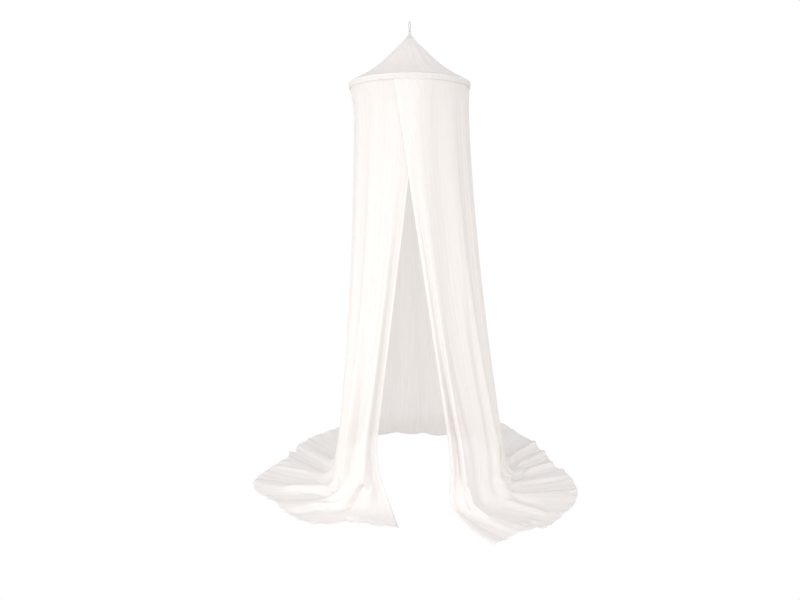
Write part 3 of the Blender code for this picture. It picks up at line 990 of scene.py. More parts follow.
@dataclass(frozen=True)
class WallDrape:
    """How the wall hangs, bends and lies on the floor: its middle surface and every fold on it."""

    sizes: FrameSizes
    waist_height: float = 0.330
    pull_in: float = 0.014
    pull_in_left_extra: float = 0.008
    pull_in_drop: float = 0.110
    flare_power: float = 2.0
    flare_power_left_extra: float = 0.4
    stages: float = 3.0
    edge_share: float = 0.11
    crossing_share: float = 0.075
    crossing_gap_top: float = 0.0023
    crossing_gap: float = 0.0085
    layers_meet_below: float = 0.600
    layers_apart_above: float = 1.166
    calm_edge_folds: float = 0.35
    calm_below: float = 1.0
    calm_above: float = 1.5
    fold_depth_top: float = 0.0006
    fold_growth_power: float = 0.8
    fold_share_on_train: float = 0.55
    fold_share_at_hem: float = 0.28
    fold_lift_from: float = 0.85
    fold_lift_span: float = 0.80
    fold_sharpness: float = 0.16
    fold_drift: Bumps = Bumps(17, 5, 21, 0.45)
    drift_full_at: float = 0.9
    crease_fade: float = 0.25
    pleats: int = 74
    pleat_drift: Bumps = Bumps(30, 3, 31, 2.6)
    pleat_strength: Bumps = Bumps(52, 6, 32, 0.6, 0.7)
    calm_edge_pleats: float = 0.6
    pleat_stages: tuple[float, ...] = (0.0, 0.9, 1.6, 2.7, 3.0)
    pleat_top: float = 0.0006
    pleat_waist: float = 0.0011
    pleat_floor: float = 0.0006
    pleat_hem: float = 0.0016
    edge_bulge: float = 0.026
    edge_bulge_from: float = 0.955
    edge_bulge_stages: tuple[float, ...] = (1.0, 1.8, 2.55, 3.0)
    edge_bulge_shares: tuple[float, ...] = (0.0, 1.0, 0.95, 0.0)
    hem_scallop: float = 0.0070
    slow_scallops: Bumps = Bumps(34, 1, 5, 1.2)
    quick_scallops: Bumps = Bumps(96, 1, 6, 0.9)
    scallops_drawn_in: float = 0.8
    hem_wave: float = 0.008
    ruffles: int = 58
    ruffle_drift: Bumps = Bumps(27, 1, 41, 3.2)
    ruffle_strength: Bumps = Bumps(39, 1, 42, 0.75, 0.45)
    ruffle_strength_least: float = 0.05
    ruffle_from: float = 2.62
    ruffle_span: float = 0.38
    ruffle_growth_power: float = 1.5

    @property
    def lift(self) -> float:
        """How far the solid's middle lies above the floor."""
        return self.sizes.solid_sheet / 2 + self.sizes.floor_gap

    @property
    def top(self) -> float:
        """Height of the wall's upper edge, under the hoop."""
        return self.sizes.hoop_height - self.sizes.tube_radius - 2 * self.sizes.gap - self.lift

    def lines(self, share: Grid) -> Station:
        """Reads the stations' sizes between them.

        Args:
            share: Shares across the wall.

        Returns:
            The sizes there.
        """
        ring = np.array([station.ring_deg for station in STATIONS])
        ring_deg = ring[0] + (ring[-1] - ring[0]) * share
        columns = np.array(STATIONS)[:, 1:].T
        return Station(ring_deg, *(between(ring_deg, ring, values) for values in columns))

    def ring_place(self, at: Places, line: Station, rise: Grid) -> tuple[Grid, Grid]:
        """Where each line would hang straight down from the hoop.

        Args:
            at: Places on the wall.
            line: The lines' sizes there.
            rise: Heights above the floor.

        Returns:
            X and Y, drawn in under the hoop, and in two layers where the free edges cross.
        """
        angle = np.radians(line.ring_deg)
        drawn_in = smooth_step((self.sizes.casing_bottom - rise) / self.pull_in_drop)
        pull = (self.pull_in + self.pull_in_left_extra * np.sin(angle)) * drawn_in
        crossing = 1.0 - step_between(at.from_edge, self.crossing_share, self.edge_share)
        apart = self.crossing_gap_top + (self.crossing_gap - self.crossing_gap_top) * drawn_in
        apart *= step_between(rise, self.layers_meet_below, self.layers_apart_above)
        layer = np.where(at.share < 0.5, -1.0, 1.0) * apart * crossing
        radius = self.sizes.hoop_radius - pull + layer
        return -radius * np.sin(angle), -radius * np.cos(angle)

    def hang(self, ring_at: Grid, waist_at: Grid, foot_at: Grid, power: Grid, rise: Grid) -> Grid:
        """One coordinate of the hanging cloth: a curve from the hoop to the waist, carried on to the foot.

        Args:
            ring_at: The coordinate at the hoop.
            waist_at: The coordinate at the waist.
            foot_at: The coordinate where the line meets the floor.
            power: How late the cloth flares.
            rise: Heights above the floor.

        Returns:
            The coordinate at those heights.
        """
        to_waist = self.top - self.waist_height
        drop = (self.top - rise) / to_waist
        past_waist = np.clip(drop - 1.0, 0.0, None)
        whole_past = self.waist_height / to_waist
        slope = power * (waist_at - ring_at)
        correction = foot_at - waist_at - slope * whole_past
        curve = ring_at + (waist_at - ring_at) * np.clip(drop, 0.0, 1.0) ** power
        return curve + slope * past_waist + correction * (past_waist / whole_past) ** 2

    def base(self, at: Places) -> Grid:
        """The wall's middle surface without folds.

        Args:
            at: Places on the wall.

        Returns:
            Points, with Z as a height above the floor.
        """
        line = self.lines(at.share)
        on_side = smooth_step(at.from_edge / self.edge_share)
        side_power = self.flare_power + self.flare_power_left_extra * np.sin(np.radians(line.ring_deg))
        power = 1.0 + (side_power - 1.0) * on_side
        rise = self.top + (line.bend - self.top) * np.clip(at.stage, 0.0, 1.0)
        ring_x, ring_y = self.ring_place(at, line, rise)
        hung_x = self.hang(ring_x, line.waist_x, line.foot_x, power, rise)
        hung_y = self.hang(ring_y, line.waist_y, line.foot_y, power, rise)

        run = np.hypot(line.hem_x - line.foot_x, line.hem_y - line.foot_y)
        land_x = line.foot_x + (line.hem_x - line.foot_x) * line.bend / run
        land_y = line.foot_y + (line.hem_y - line.foot_y) * line.bend / run
        turned = np.clip(at.stage - 1.0, 0.0, 1.0)
        before, corner, after = (1 - turned) ** 2, 2 * turned * (1 - turned), turned**2
        lying = np.clip(at.stage - 2.0, 0.0, 1.0) * (1.0 + self.hem_change(at.share) / run)
        x = before * hung_x + corner * line.foot_x + after * land_x + (line.hem_x - land_x) * lying
        y = before * hung_y + corner * line.foot_y + after * land_y + (line.hem_y - land_y) * lying
        bulge = self.edge_bulge * step_between(at.share, self.edge_bulge_from, 1.0)
        x -= bulge * np.interp(at.stage, self.edge_bulge_stages, self.edge_bulge_shares)
        return np.stack([x, y, before * rise], axis=-1)

    def hem_change(self, share: Grid) -> Grid:
        """How far the bottom hem lies past its even line, in shallow uneven scallops.

        Args:
            share: Shares across the wall.

        Returns:
            Metres, below 0 where the hem falls short.
        """
        scallops = self.slow_scallops.at_hem(share) + self.quick_scallops.at_hem(share)
        shares, reaches = np.array(HEM_REACHES).T
        reach = np.interp(share, shares, reaches)
        return self.hem_scallop * (scallops - self.scallops_drawn_in) + reach

    def calm(self, at: Places, rise: Grid, share_left: float) -> Grid:
        """How much of a fold is left beside the free edges high up, where two layers hang against each other.

        Args:
            at: Places on the wall.
            rise: Heights above the floor.
            share_left: What is left there.

        Returns:
            The share at each place, 1 elsewhere.
        """
        near_edge = 1.0 - smooth_step(at.from_edge / self.edge_share)
        high_up = step_between(rise, self.calm_below, self.calm_above)
        return 1.0 - (1.0 - share_left) * near_edge * high_up

    def lifted(self, stage: Grid) -> Grid:
        """0 where the cloth hangs and 1 where it lies, where folds only stand up from the floor."""
        return smooth_step((stage - self.fold_lift_from) / self.fold_lift_span)

    def main_folds(self, at: Places, rise: Grid) -> Grid:
        """Height of the main folds over the middle surface, as in the solid.

        Args:
            at: Places on the wall.
            rise: Heights above the floor.

        Returns:
            The height, never below 0 on the floor.
        """
        shares, depths = np.array(RIDGES).T
        at_waist = np.interp(at.share, shares, depths)
        casing_bottom = self.sizes.casing_bottom
        down = np.clip((casing_bottom - rise) / (casing_bottom - self.waist_height), 0.0, 1.0)
        hanging = self.fold_depth_top + (at_waist - self.fold_depth_top) * down**self.fold_growth_power
        lying = np.interp(at.stage, [2.0, 3.0], [self.fold_share_on_train, self.fold_share_at_hem]) * at_waist
        depth = hanging + (lying - hanging) * smooth_step(at.stage - 1.0)
        depth *= self.calm(at, rise, self.calm_edge_folds)
        drift = self.fold_drift.read(at.share, at.stage / self.stages)
        phase = 2 * math.pi * at.turns + drift * smooth_step(at.stage / self.drift_full_at)
        profile = np.cos(phase) + self.fold_sharpness * (np.cos(2 * phase) - 1.0)
        return depth * (profile + self.lifted(at.stage))

    def small_pleats(self, at: Places, rise: Grid) -> Grid:
        """Height of the small uneven pleats that hang between the main folds and open out into the hem.

        Args:
            at: Places on the wall.
            rise: Heights above the floor.

        Returns:
            The height.
        """
        down = at.stage / self.stages
        phase = 2 * math.pi * self.pleats * at.share + self.pleat_drift.read(at.share, down)
        depths = (self.pleat_top, self.pleat_waist, self.pleat_floor, self.pleat_floor, self.pleat_hem)
        depth = np.interp(at.stage, self.pleat_stages, depths) * self.pleat_strength.read(at.share, down)
        return depth * (np.cos(phase) + self.lifted(at.stage)) * self.calm(at, rise, self.calm_edge_pleats)

    def hem_waves(self, at: Places) -> Grid:
        """Height of the ruffles in the last stretch before the bottom hem.

        Args:
            at: Places on the wall.

        Returns:
            The height.
        """
        phase = 2 * math.pi * self.ruffles * at.share + self.ruffle_drift.at_hem(at.share)
        strength = np.clip(self.ruffle_strength.at_hem(at.share), self.ruffle_strength_least, None)
        near_hem = smooth_step((at.stage - self.ruffle_from) / self.ruffle_span) ** self.ruffle_growth_power
        return self.hem_wave * strength * near_hem * (1.0 + np.cos(phase)) / 2

    def creases(self, at: Places, base: Grid) -> Grid:
        """Height of the listed creases.

        Args:
            at: Places on the wall.
            base: The middle surface there.

        Returns:
            Their height, below 0 in a trough.
        """
        share, stage, _ = at
        metres_a_share = np.linalg.norm(np.gradient(base, axis=1), axis=-1) / np.gradient(share, axis=1)
        metres_a_stage = np.linalg.norm(np.gradient(base, axis=0), axis=-1) / np.gradient(stage, axis=0)
        height = np.zeros_like(share)
        for crease in CREASES:
            down = crease.runs is Runs.DOWN
            run, side, metres = (stage, share, metres_a_share) if down else (share, stage, metres_a_stage)
            stops = np.linspace(crease.start, crease.end, len(crease.line))
            middle = between(np.clip(run, crease.start, crease.end), stops, crease.line)
            off = (side - middle) * metres / crease.half_width
            fade = self.crease_fade * (crease.end - crease.start)
            there = smooth_step((run - crease.start) / fade) * smooth_step((crease.end - run) / fade)
            height += crease.rise * np.exp(-off * off) * there
        return height

    def points(self, at: Places) -> Grid:
        """The wall with all its folds.

        Args:
            at: Places on the wall.

        Returns:
            The points in the frame.
        """
        base = self.base(at)
        rise = base[..., 2]
        height = self.main_folds(at, rise) + self.small_pleats(at, rise) + self.creases(at, base)
        points = base + grid_normals(base) * height[..., None]
        points[..., 2] += self.hem_waves(at)
        points[..., 2] = np.maximum(points[..., 2], 0.0) + self.lift + self.sizes.floor
        return points


@dataclass
class NetWall:
    """The one sheet of net round the canopy, with its hems and their stitches."""

    drape: WallDrape
    finish: bpy.types.Material
    stitching: Stitching
    columns_a_fold: int = 27
    hanging_rows: int = 46
    bend_rows: int = 16
    train_rows: int = 30
    crowding: float = 0.6
    net: float = 0.0010
    hem: float = 0.0022
    bottom_hem_width: float = 0.014
    side_hem_width: float = 0.011
    stitched_at: float = 0.8
    flat_size: tuple[float, float] = (5.6, 2.42)
    flat_area: float = 6.0
    hem_lightness: float = 0.55
    # How much light is painted on the front layer where the other side lies behind it
    overlap_painted_light: float = 0.55
    overlap_fade: float = 0.006
    front_share: float = 0.2

    def columns(self) -> tuple[Grid, Grid]:
        """Spreads the columns evenly from crest to crest.

        Returns:
            Their shares across the wall, and the number of crests before each.
        """
        crests = [ridge.share for ridge in RIDGES]
        first, last = np.interp([0.0, 1.0], crests, range(len(crests)))
        turns = np.linspace(first, last, round((last - first) * self.columns_a_fold) + 1)
        return np.interp(turns, range(len(crests)), crests), turns

    def rows(self) -> Grid:
        """Spreads the rows, closer together towards the floor.

        Returns:
            Their stages.
        """
        sizes = self.drape.sizes
        tucked = (self.drape.top - sizes.casing_bottom) / self.drape.top
        even = np.linspace(0.0, 1.0, self.hanging_rows)
        hanging = tucked + (1.0 - tucked) * even * (1.0 + self.crowding * (1.0 - even))
        bend = 1.0 + np.linspace(0.0, 1.0, self.bend_rows + 1)[1:]
        train = 2.0 + np.linspace(0.0, 1.0, self.train_rows + 1)[1:]
        return np.concatenate([[0.0], hanging, bend, train])

    def build(self) -> list[bpy.types.Object]:
        """Makes the wall and its rows of stitches.

        Returns:
            The wall first, then the stitches.
        """
        shares, turns = self.columns()
        share, stage = np.meshgrid(shares, self.rows())
        at = Places(share, stage, np.broadcast_to(turns, share.shape))
        points = self.drape.points(at)
        down = np.linalg.norm(np.diff(points, axis=0), axis=-1)
        across = np.linalg.norm(np.diff(points, axis=1), axis=-1)
        to_bottom = np.concatenate([np.cumsum(down[::-1], axis=0)[::-1], np.zeros((1, len(shares)))])
        to_left = np.concatenate([np.zeros((len(stage), 1)), np.cumsum(across, axis=1)], axis=1)
        to_side = np.minimum(to_left, to_left[:, -1:] - to_left)
        hemmed = np.maximum(to_bottom < self.bottom_hem_width, to_side < self.side_hem_width).astype(float)
        along = 1.0 - to_bottom / to_bottom[:1]
        wall = grid_object("net_wall", points, np.stack([share, along], axis=-1))
        # Painted light on the front layer where the two sides of the front overlap, and the lighter double
        # cloth of the hems
        overlap = self.overlap_painted_light * self.overlap(at, points)
        doubled = np.maximum(self.hem_lightness * hemmed, overlap)
        wall.data.attributes.new("doubled", "FLOAT", "POINT").data.foreach_set("value", doubled.reshape(-1))
        thicken(wall, self.hem, self.net / self.hem, hemmed)
        finish_piece(wall, self.finish, replaces="wall_cloth")
        return [wall, *self.sew_hems(points, to_bottom, to_side)]

    def overlap(self, at: Places, points: Grid) -> Grid:
        """Where the two sides of the front lie over each other under the hoop.

        Args:
            at: Places on the wall.
            points: The wall's middle surface there.

        Returns:
            1 there and 0 elsewhere.
        """
        x, left_edge, right_edge = points[..., 0], points[:, :1, 0], points[:, -1:, 0]
        past = np.where(at.share < 0.5, x - right_edge, left_edge - x)
        return smooth_step(0.5 + past / self.overlap_fade) * (at.from_edge < self.front_share)

    def sew_hems(self, points: Grid, to_bottom: Grid, to_side: Grid) -> list[bpy.types.Object]:
        """Sews the bottom hem and the two free edges, on both faces.

        Args:
            points: The wall's middle surface.
            to_bottom: Metres of cloth from each point to the bottom edge.
            to_side: Metres of cloth from each point to the nearer free edge.

        Returns:
            The rows of stitches.
        """
        outwards = grid_normals(points)
        columns = points.shape[1]
        from_bottom = to_bottom.mean(axis=1) - self.stitched_at * self.bottom_hem_width
        from_side = to_side[:, : columns // 2].mean(axis=0) - self.stitched_at * self.side_hem_width
        row, left = int(np.argmin(np.abs(from_bottom))), int(np.argmin(np.abs(from_side)))
        right = columns - 1 - left
        lines = {
            "bottom": np.s_[row, left:right],
            "left_edge": np.s_[1:row, left],
            "right_edge": np.s_[1:row, right],
        }
        sewn = []
        for face in Face:
            offset = face.value * (self.hem / 2)
            for place, line in lines.items():
                name = f"hem_stitches_{place}_{face.name.lower()}"
                middle, out = points[line], outwards[line]
                sewn.append(self.stitching.sew(name, middle + out * offset, out * face.value, Slot.VOILE))
        return sewn


@dataclass
class GatheredCone:
    """The net cone from the hoop to the neck, where a thread binds it round the cord."""

    sizes: FrameSizes
    finish: bpy.types.Material
    thread: bpy.types.Material
    net: float = 0.0010
    neck_radius_x: float = 0.0044
    neck_radius_y: float = 0.0028
    neck_length: float = 0.011
    neck_share: float = 0.1
    sag_power: float = 0.75
    outer_sag: float = 0.012
    outer_sag_from: float = 0.25
    spacing_power: float = 0.9
    gathers: int = 16
    gather_depth: float = 0.0022
    gather_power: float = 0.7
    small_gathers: int = 90
    small_gather_depth: float = 0.0004
    small_gather_waver: tuple[Wave, ...] = (Wave(2.2, 3, 0.7), Wave(1.6, 5, 2.1))
    rim_fade: float = 0.05
    neck_fade: float = 0.25
    ruffles: int = 22
    ruffle_from: float = 0.55
    ruffle_span: float = 0.45
    ruffle_flare: float = 0.35
    ruffle_depth: float = 0.25
    flat_size: tuple[float, float] = (1.85, 0.42)
    flat_area: float = 0.37
    columns: int = 540
    rows: int = 44
    binding_turns: int = 6
    points_a_turn: int = 24
    binding_radius: float = 0.00035
    binding_sides: int = 8
    binding_foot: float = 0.0022
    binding_height: float = 0.0045
    casing_mid_radius: float = 0.00605
    casing_cloth: float = 0.0015

    def points(self) -> tuple[Grid, Grid]:
        """The cone's middle surface, sagging between rim and neck, with its gathers.

        Returns:
            The points in the frame, and their places on the flat cloth.
        """
        down = np.linspace(1.0, 0.0, self.rows + 1)
        around, along = np.meshgrid(np.arange(self.columns) / self.columns, down)
        angle = -2 * math.pi * around
        slope = np.clip(along / (1.0 - self.neck_share), 0.0, 1.0)
        inwards = slope**self.spacing_power
        rim = self.sizes.hoop_radius
        radius_x = rim + (self.neck_radius_x - rim) * inwards
        radius_y = rim + (self.neck_radius_y - rim) * inwards
        sag = 1.0 - (radius_x / rim) ** self.sag_power
        full_sag = 1.0 - (self.neck_radius_x / rim) ** self.sag_power
        casing_top = self.casing_mid_radius + self.casing_cloth / 2
        rim_rise = casing_top + self.sizes.gap + self.sizes.solid_sheet / 2
        rim_height = self.sizes.hoop_height + rim_rise
        slope_top = self.sizes.neck_top - self.neck_length
        rise = rim_height + (slope_top - rim_height) * sag / full_sag
        outer = np.clip((radius_x / rim - self.outer_sag_from) / (1.0 - self.outer_sag_from), 0.0, 1.0)
        rise -= self.outer_sag * np.sin(math.pi * outer)
        up_neck = np.clip((along - 1.0 + self.neck_share) / self.neck_share, 0.0, 1.0)
        rise += self.neck_length * up_neck
        swell = np.where(slope < 1.0, np.sin(math.pi * slope), 0.0)
        rise += self.gather_depth * swell**self.gather_power * np.cos(self.gathers * angle)
        small = np.cos(self.small_gathers * angle + waver(angle, self.small_gather_waver))
        between_ends = smooth_step(slope / self.rim_fade) * np.clip(1.0 - up_neck / self.neck_fade, 0.0, 1.0)
        rise += self.small_gather_depth * between_ends * small
        ruffle = smooth_step((up_neck - self.ruffle_from) / self.ruffle_span)
        flare = 1.0 + ruffle * (self.ruffle_flare + self.ruffle_depth * np.cos(self.ruffles * angle))
        points = [radius_x * flare * np.cos(angle), radius_y * flare * np.sin(angle), rise + self.sizes.floor]
        return np.stack(points, axis=-1), np.stack([around, along], axis=-1)

    def build(self) -> list[bpy.types.Object]:
        """Makes the cone and the thread round its neck.

        Returns:
            The cone and the binding.
        """
        points, place = self.points()
        cone = grid_object("net_cone", points, place, closed=True)
        thicken(cone, self.net)
        finish_piece(cone, self.finish, replaces="cone_cloth")
        return [cone, self.bind_neck()]

    def bind_neck(self) -> bpy.types.Object:
        """Winds the binding thread round the neck.

        Returns:
            The thread.
        """
        bottom = self.sizes.neck_top - self.neck_length + self.binding_foot
        count = self.binding_turns * self.points_a_turn
        turn = np.linspace(0.0, 2 * math.pi * self.binding_turns, count)
        off = self.net / 2 + self.binding_radius
        x = (self.neck_radius_x + off) * np.cos(turn)
        y = (self.neck_radius_y + off) * np.sin(turn)
        z = bottom + np.linspace(0.0, self.binding_height, count) + self.sizes.floor
        line = np.stack([x, y, z], axis=-1)
        binding = tube_object("neck_binding", line, self.binding_radius, self.binding_sides, closed=False)
        return finish_piece(binding, self.thread)


def smooth_object(name: str, mesh: bmesh.types.BMesh) -> bpy.types.Object:
    """Puts a mesh that was built in code in the scene, shaded smooth.

    Args:
        name: The object's name.
        mesh: The mesh, which is freed.

    Returns:
        The object.
    """
    data = bpy.data.meshes.new(name)
    mesh.to_mesh(data)
    mesh.free()
    data.shade_smooth()
    return link_object(name, data)


def joined(name: str, parts: list[bpy.types.Object]) -> bpy.types.Object:
    """Makes one object of several.

    Args:
        name: Its name.
        parts: Objects with plain meshes, which are removed.

    Returns:
        The object.
    """
    mesh = bmesh.new()
    for part in parts:
        mesh.from_mesh(part.data)
        bpy.data.objects.remove(part)
    return smooth_object(name, mesh)


def tube_object(name: str, points: Grid, radius: float, sides: int, closed: bool) -> bpy.types.Object:
    """Sweeps a round section along a line that never runs along Y, or else never along Z.

    Args:
        name: The object's name.
        points: The line.
        radius: The section's radius.
        sides: How many sides the section has.
        closed: Whether the line ends where it starts.

    Returns:
        The tube, with its ends closed.
    """
    if closed:
        tangent = np.roll(points, -1, axis=0) - np.roll(points, 1, axis=0)
    else:
        tangent = np.gradient(points, axis=0)
    tangent /= np.linalg.norm(tangent, axis=-1, keepdims=True)
    runs_along_y = abs(tangent[:, 1]).max() >= NEARLY_PARALLEL
    side = np.cross(tangent, (0.0, 0.0, 1.0) if runs_along_y else (0.0, 1.0, 0.0))
    side /= np.linalg.norm(side, axis=-1, keepdims=True)
    up = np.cross(side, tangent)
    angles = np.linspace(0.0, 2 * math.pi, sides, endpoint=False)
    section = side[:, None] * np.cos(angles)[None, :, None] + up[:, None] * np.sin(angles)[None, :, None]
    rings = points[:, None] + radius * section
    mesh = bmesh.new()
    made = [[mesh.verts.new(point) for point in ring] for ring in rings]
    pairs = list(zip(made, made[1:])) + ([(made[-1], made[0])] if closed else [])
    for ring, following in pairs:
        for i in range(sides):
            mesh.faces.new((ring[i], ring[(i + 1) % sides], following[(i + 1) % sides], following[i]))
    if not closed:
        mesh.faces.new(made[0])
        mesh.faces.new(made[-1])
    bmesh.ops.recalc_face_normals(mesh, faces=mesh.faces)
    return smooth_object(name, mesh)


@dataclass
class FoldedCasing:
    """The strip of net folded over the hoop and gathered on it, with its two rows of stitches."""

    sizes: FrameSizes
    finish: bpy.types.Material
    stitching: Stitching
    cloth: float = 0.0015
    edge_cloth: float = 0.0006
    drop: float = 0.022
    gathers: int = 230
    columns_a_gather: int = 6
    crown_steps: int = 8
    side_rows: int = 7
    gather_depth: float = 0.0007
    gather_waver: tuple[Wave, ...] = (Wave(1.4, 7), Wave(1.1, 11, 1.0), Wave(0.7, 23, 2.0))
    strength_middle: float = 0.65
    strength_change: float = 0.35
    strength_waves: int = 17
    wander_in_strength: float = 0.5
    depth_at_tube: float = 0.25
    depth_least: float = 0.1
    pinched_gap: float = 0.0032
    pinched_from: float = 0.004
    pinched_span: float = 0.007
    stitch_rows: tuple[float, float] = (0.0115, 0.0195)
    stitch_line_points: int = 720
    flat_size: tuple[float, float] = (1.86, 0.063)

    @property
    def mid_radius(self) -> float:
        """Radius of the fold's middle surface round the tube."""
        return self.sizes.tube_radius + self.sizes.gap + self.cloth / 2

    def section(self) -> Grid:
        """The fold's section: in from the bottom edge inside, over the tube, and down outside.

        Returns:
            Distances outwards from the tube's middle and heights above it.
        """
        falls = self.drop * np.linspace(0.0, 1.0, self.side_rows + 1)[1:]
        turns = np.linspace(0.0, math.pi, self.crown_steps + 1)
        crown = np.stack([self.mid_radius * np.cos(turns), self.mid_radius * np.sin(turns)], axis=-1)
        outside = np.stack([self.half_gap(falls), -falls], axis=-1)
        inside = outside * (-1.0, 1.0)
        return np.concatenate([outside[::-1], crown, inside])[::-1]

    def half_gap(self, fall: Grid) -> Grid:
        """How far each side of the fold lies from its middle, that far below the tube's middle."""
        pinched = smooth_step((np.asarray(fall) - self.pinched_from) / self.pinched_span)
        return self.mid_radius + (self.pinched_gap - self.mid_radius) * pinched

    def fullness(self, fall: Grid) -> Grid:
        """1 beside the tube, where the fold is thickest, down to 0 at its edges."""
        return smooth_step(1.0 - np.asarray(fall) / self.drop)

    def build(self) -> list[bpy.types.Object]:
        """Makes the strip and its stitches.

        Returns:
            The strip first, then the stitches.
        """
        section = self.section()
        count = self.gathers * self.columns_a_gather
        around = np.arange(count) / count
        angle = -2 * math.pi * around[None, :] - math.pi / 2
        out, up = section[:, 0][:, None], section[:, 1][:, None]
        wander = waver(angle, self.gather_waver)
        change = np.sin(self.strength_waves * angle + self.wander_in_strength * wander)
        strength = self.strength_middle + self.strength_change * change
        grown = np.clip(self.depth_at_tube - up / self.drop, self.depth_least, 1.0)
        depth = self.gather_depth * grown * strength
        ripple = depth * np.cos(self.gathers * angle + wander)
        radius = self.sizes.hoop_radius + out + np.sign(out) * ripple
        height = np.broadcast_to(up + self.sizes.hoop_height + self.sizes.floor, radius.shape)
        points = np.stack([radius * np.cos(angle), radius * np.sin(angle), height], axis=-1)[::-1]
        along = np.linspace(0.0, 1.0, len(section))[:, None]
        place = np.stack(np.broadcast_arrays(around[None, :], along), axis=-1)
        strip = grid_object("folded_casing", points, place, closed=True)
        full = np.broadcast_to(self.fullness(-up), radius.shape)[::-1]
        thicken(strip, self.cloth, self.edge_cloth / self.cloth, full)
        finish_piece(strip, self.finish, replaces="hoop_casing")
        return [strip, *self.sew()]

    def sew(self) -> list[bpy.types.Object]:
        """Sews the strip round the canopy, above and below.

        Returns:
            The rows of stitches.
        """
        turns = np.linspace(0.0, 2 * math.pi, self.stitch_line_points, endpoint=False)
        outwards = np.stack([np.cos(turns), np.sin(turns), np.zeros_like(turns)], axis=-1)
        rows = []
        for i, fall in enumerate(self.stitch_rows):
            cloth = self.edge_cloth + (self.cloth - self.edge_cloth) * float(self.fullness(fall))
            proud = float(self.half_gap(fall)) + cloth / 2 + self.stitching.width / 4
            radius = self.sizes.hoop_radius + proud
            points = outwards * radius
            points[:, 2] = self.sizes.hoop_height - fall + self.sizes.floor
            name = f"casing_stitches_{i + 1}"
            rows.append(self.stitching.sew(name, points, outwards, Slot.BAND, closed=True))
        return rows


@dataclass
class HangingLoop:
    """The cord loop that the canopy hangs from: three strands twisted together."""

    sizes: FrameSizes
    finish: bpy.types.Material
    cord_radius: float = 0.0012
    half_gap: float = 0.0030
    foot_gap: float = 0.0005
    foot_below_neck: float = 0.012
    taper_from: float = -0.75
    taper_span: float = 1.1
    squareness: float = 0.5
    strands: int = 3
    twists: int = 19
    points_a_twist: int = 16
    strand_sides: int = 8
    route_points: int = 4001

    def route(self, angle: Grid) -> Grid:
        """The cord's middle line.

        Args:
            angle: Angles round the loop from its top.

        Returns:
            The line's points in the frame.
        """
        top = -self.sizes.floor + self.cord_radius
        foot = self.sizes.neck_top - self.foot_below_neck
        rise = np.cos(angle)
        widest, narrowest = self.half_gap + self.cord_radius, self.foot_gap + self.cord_radius
        taper = smooth_step((rise - self.taper_from) / self.taper_span)
        half_width = narrowest + (widest - narrowest) * taper
        across = np.sign(np.sin(angle)) * half_width * np.abs(np.sin(angle)) ** self.squareness
        height = (top + foot) / 2 + (top - foot) / 2 * rise + self.sizes.floor
        return np.stack([across, np.zeros_like(across), height], axis=-1)

    def build(self) -> bpy.types.Object:
        """Twists the strands round the loop's line.

        Returns:
            The cord loop.
        """
        strand_radius = self.cord_radius / (1.0 + 2.0 / math.sqrt(3.0))
        twist_radius = self.cord_radius - strand_radius
        dense = self.route(np.linspace(0.0, 2 * math.pi, self.route_points))
        passed = np.concatenate([[0.0], np.cumsum(np.linalg.norm(np.diff(dense, axis=0), axis=1))])
        count = self.twists * self.points_a_twist
        even = np.linspace(0.0, passed[-1], count, endpoint=False)
        line = np.stack([np.interp(even, passed, dense[:, i]) for i in range(3)], axis=-1)
        tangent = np.roll(line, -1, axis=0) - np.roll(line, 1, axis=0)
        tangent /= np.linalg.norm(tangent, axis=-1, keepdims=True)
        depth = np.array([0.0, 1.0, 0.0])
        side = np.cross(tangent, depth)
        strands = []
        for i in range(self.strands):
            turn = 2 * math.pi * (np.arange(count) / self.points_a_twist + i / self.strands)
            off = side * np.cos(turn)[:, None] + depth * np.sin(turn)[:, None]
            wound = line + twist_radius * off
            strands.append(tube_object(f"strand_{i}", wound, strand_radius, self.strand_sides, closed=True))
        return finish_piece(joined("twisted_loop", strands), self.finish, replaces="hanging_loop")


@dataclass(frozen=True)
class SoftWorld:
    """Light from all round: white to the eye, and a soft gradient on the canopy."""

    front: float = 1.03
    back: float = 0.04
    left: float = 0.78
    right: float = 0.66
    overhead: float = 0.46
    tint: Colour = (1.0, 0.985, 0.975)

    def build(self) -> None:
        """Makes the scene's world."""
        world = bpy.data.worlds.new("soft_world")
        bpy.context.scene.world = world
        world.use_nodes = True
        tree = world.node_tree
        tree.nodes.clear()
        direction = add_node(tree, "ShaderNodeTexCoord").outputs["Generated"]
        axes = add_node(tree, "ShaderNodeSeparateXYZ", {0: direction})
        level = 0.0
        along_x = (("X", -self.left), ("X", self.right))
        along_y = (("Y", -self.front), ("Y", self.back))
        for axis, strength in (*along_y, *along_x, ("Z", self.overhead)):
            part = calculate(tree, "MULTIPLY", axes.outputs[axis], strength)
            level = calculate(tree, "ADD", level, calculate(tree, "MAXIMUM", part, 0.0))
        lights = add_node(tree, "ShaderNodeBackground", {"Color": (*self.tint, 1.0), "Strength": level})
        both = white_to_camera(tree, "ShaderNodeBackground", lights.outputs[0])
        add_node(tree, "ShaderNodeOutputWorld", {"Surface": both})


